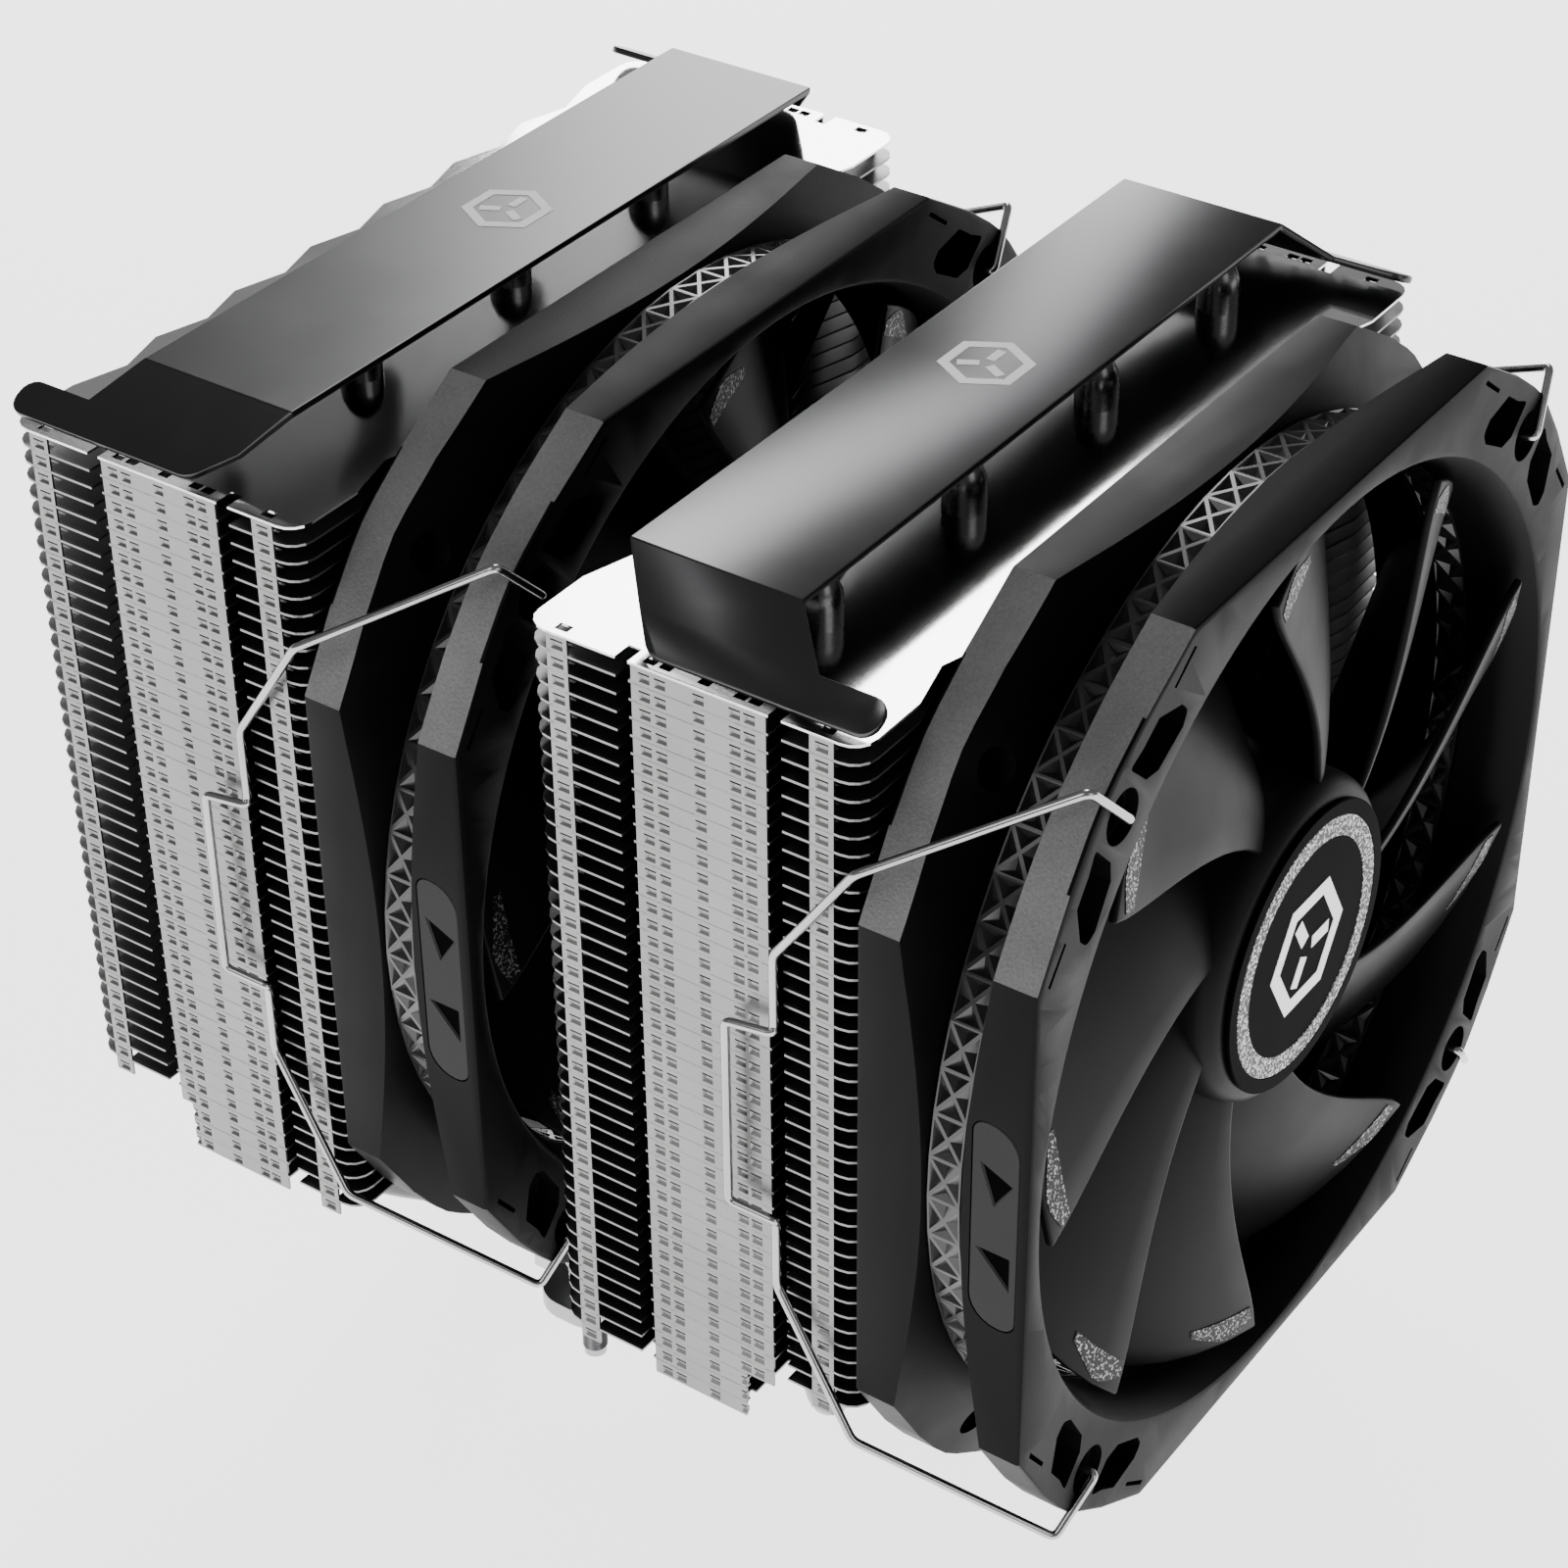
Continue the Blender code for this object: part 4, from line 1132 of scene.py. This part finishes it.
def makeCrossbar():
    m = mount
    bar = addBox("crossbar", (-m["halfX"], -m["halfY"], m["low"]), (m["halfX"], m["halfY"], m["high"]))
    pick(bar, "edges", lambda e: abs(e.verts[0].co.z - e.verts[1].co.z) > 0.001)
    bpy.ops.mesh.bevel(offset=m["round"], segments=8, affect="EDGES")
    freeHands()
    spots = (-m["screwX"], m["screwX"])
    low, high = m["low"] - 0.002, m["high"] + 0.002
    holes = [addRod("hole", m["hole"], (x, 0, low), (x, 0, high), 32) for x in spots]
    carve(bar, joinAll("holes", holes))
    softEdges(bar, 0.0003, 2, 40)
    finish(bar, "bar", "root", "bar_steel", "mounting_crossbar")


def makeScrew(word, x):
    m = mount
    shank, head, top = m["shank"], m["head"], m["headTop"]
    under = top - m["headHigh"]
    profile = [(0.0, top - 0.0012), (m["slot"], top - 0.0012), (m["slot"], top), (head - 0.0004, top),
               (head, top - 0.0004), (head, under + 0.0002), (head - 0.0002, under), (shank, under),
               (shank, 0.0139), (shank + 0.0010, 0.0139), (shank + 0.0010, 0.0124), (shank, 0.0124)]
    # the thread below the collar
    turns = 12
    for k in range(turns):
        z = 0.0115 - k * 0.0006
        profile += [(shank, z), (shank - 0.00025, z - 0.0003)]
    profile += [(shank - 0.0002, m["end"]), (0.0, m["end"])]
    screw = smooth(spinRound(word + "_screw_body", profile, 40, (x, 0, 0), "Z"), 35)
    finish(screw, "bar", word + "_screw", "bar_steel", word + "_captive_screw")


def makeSpring(word, x):
    m = mount
    low = m["high"] + 0.0003 + m["springWire"]
    high = m["headTop"] - m["headHigh"] - 0.0003 - m["springWire"]
    steps = m["turns"] * 24
    points = []
    for k in range(steps + 1):
        share = k / steps
        # the end turns lie flat
        climb = min(1.0, max(0.0, (share - 0.12) / 0.76))
        angle = 2 * math.pi * m["turns"] * share
        reach = m["springReach"]
        points.append((x + reach * math.cos(angle), reach * math.sin(angle), low + (high - low) * climb))
    coil = addWire(word + "_coil", points, m["springWire"] * 0.98, 12)
    finish(coil, "wire", "root", "wire_steel", word + "_screw_spring")


def makeMount():
    makeCrossbar()
    for word, side in (("left", -1), ("right", 1)):
        makeScrew(word, side * mount["screwX"])
        makeSpring(word, side * mount["screwX"])
    paintNode("base_plate", "base")
    paintNode("base_cap", "base")
    print("mounting pieces made")


makeMount()


freeHands()
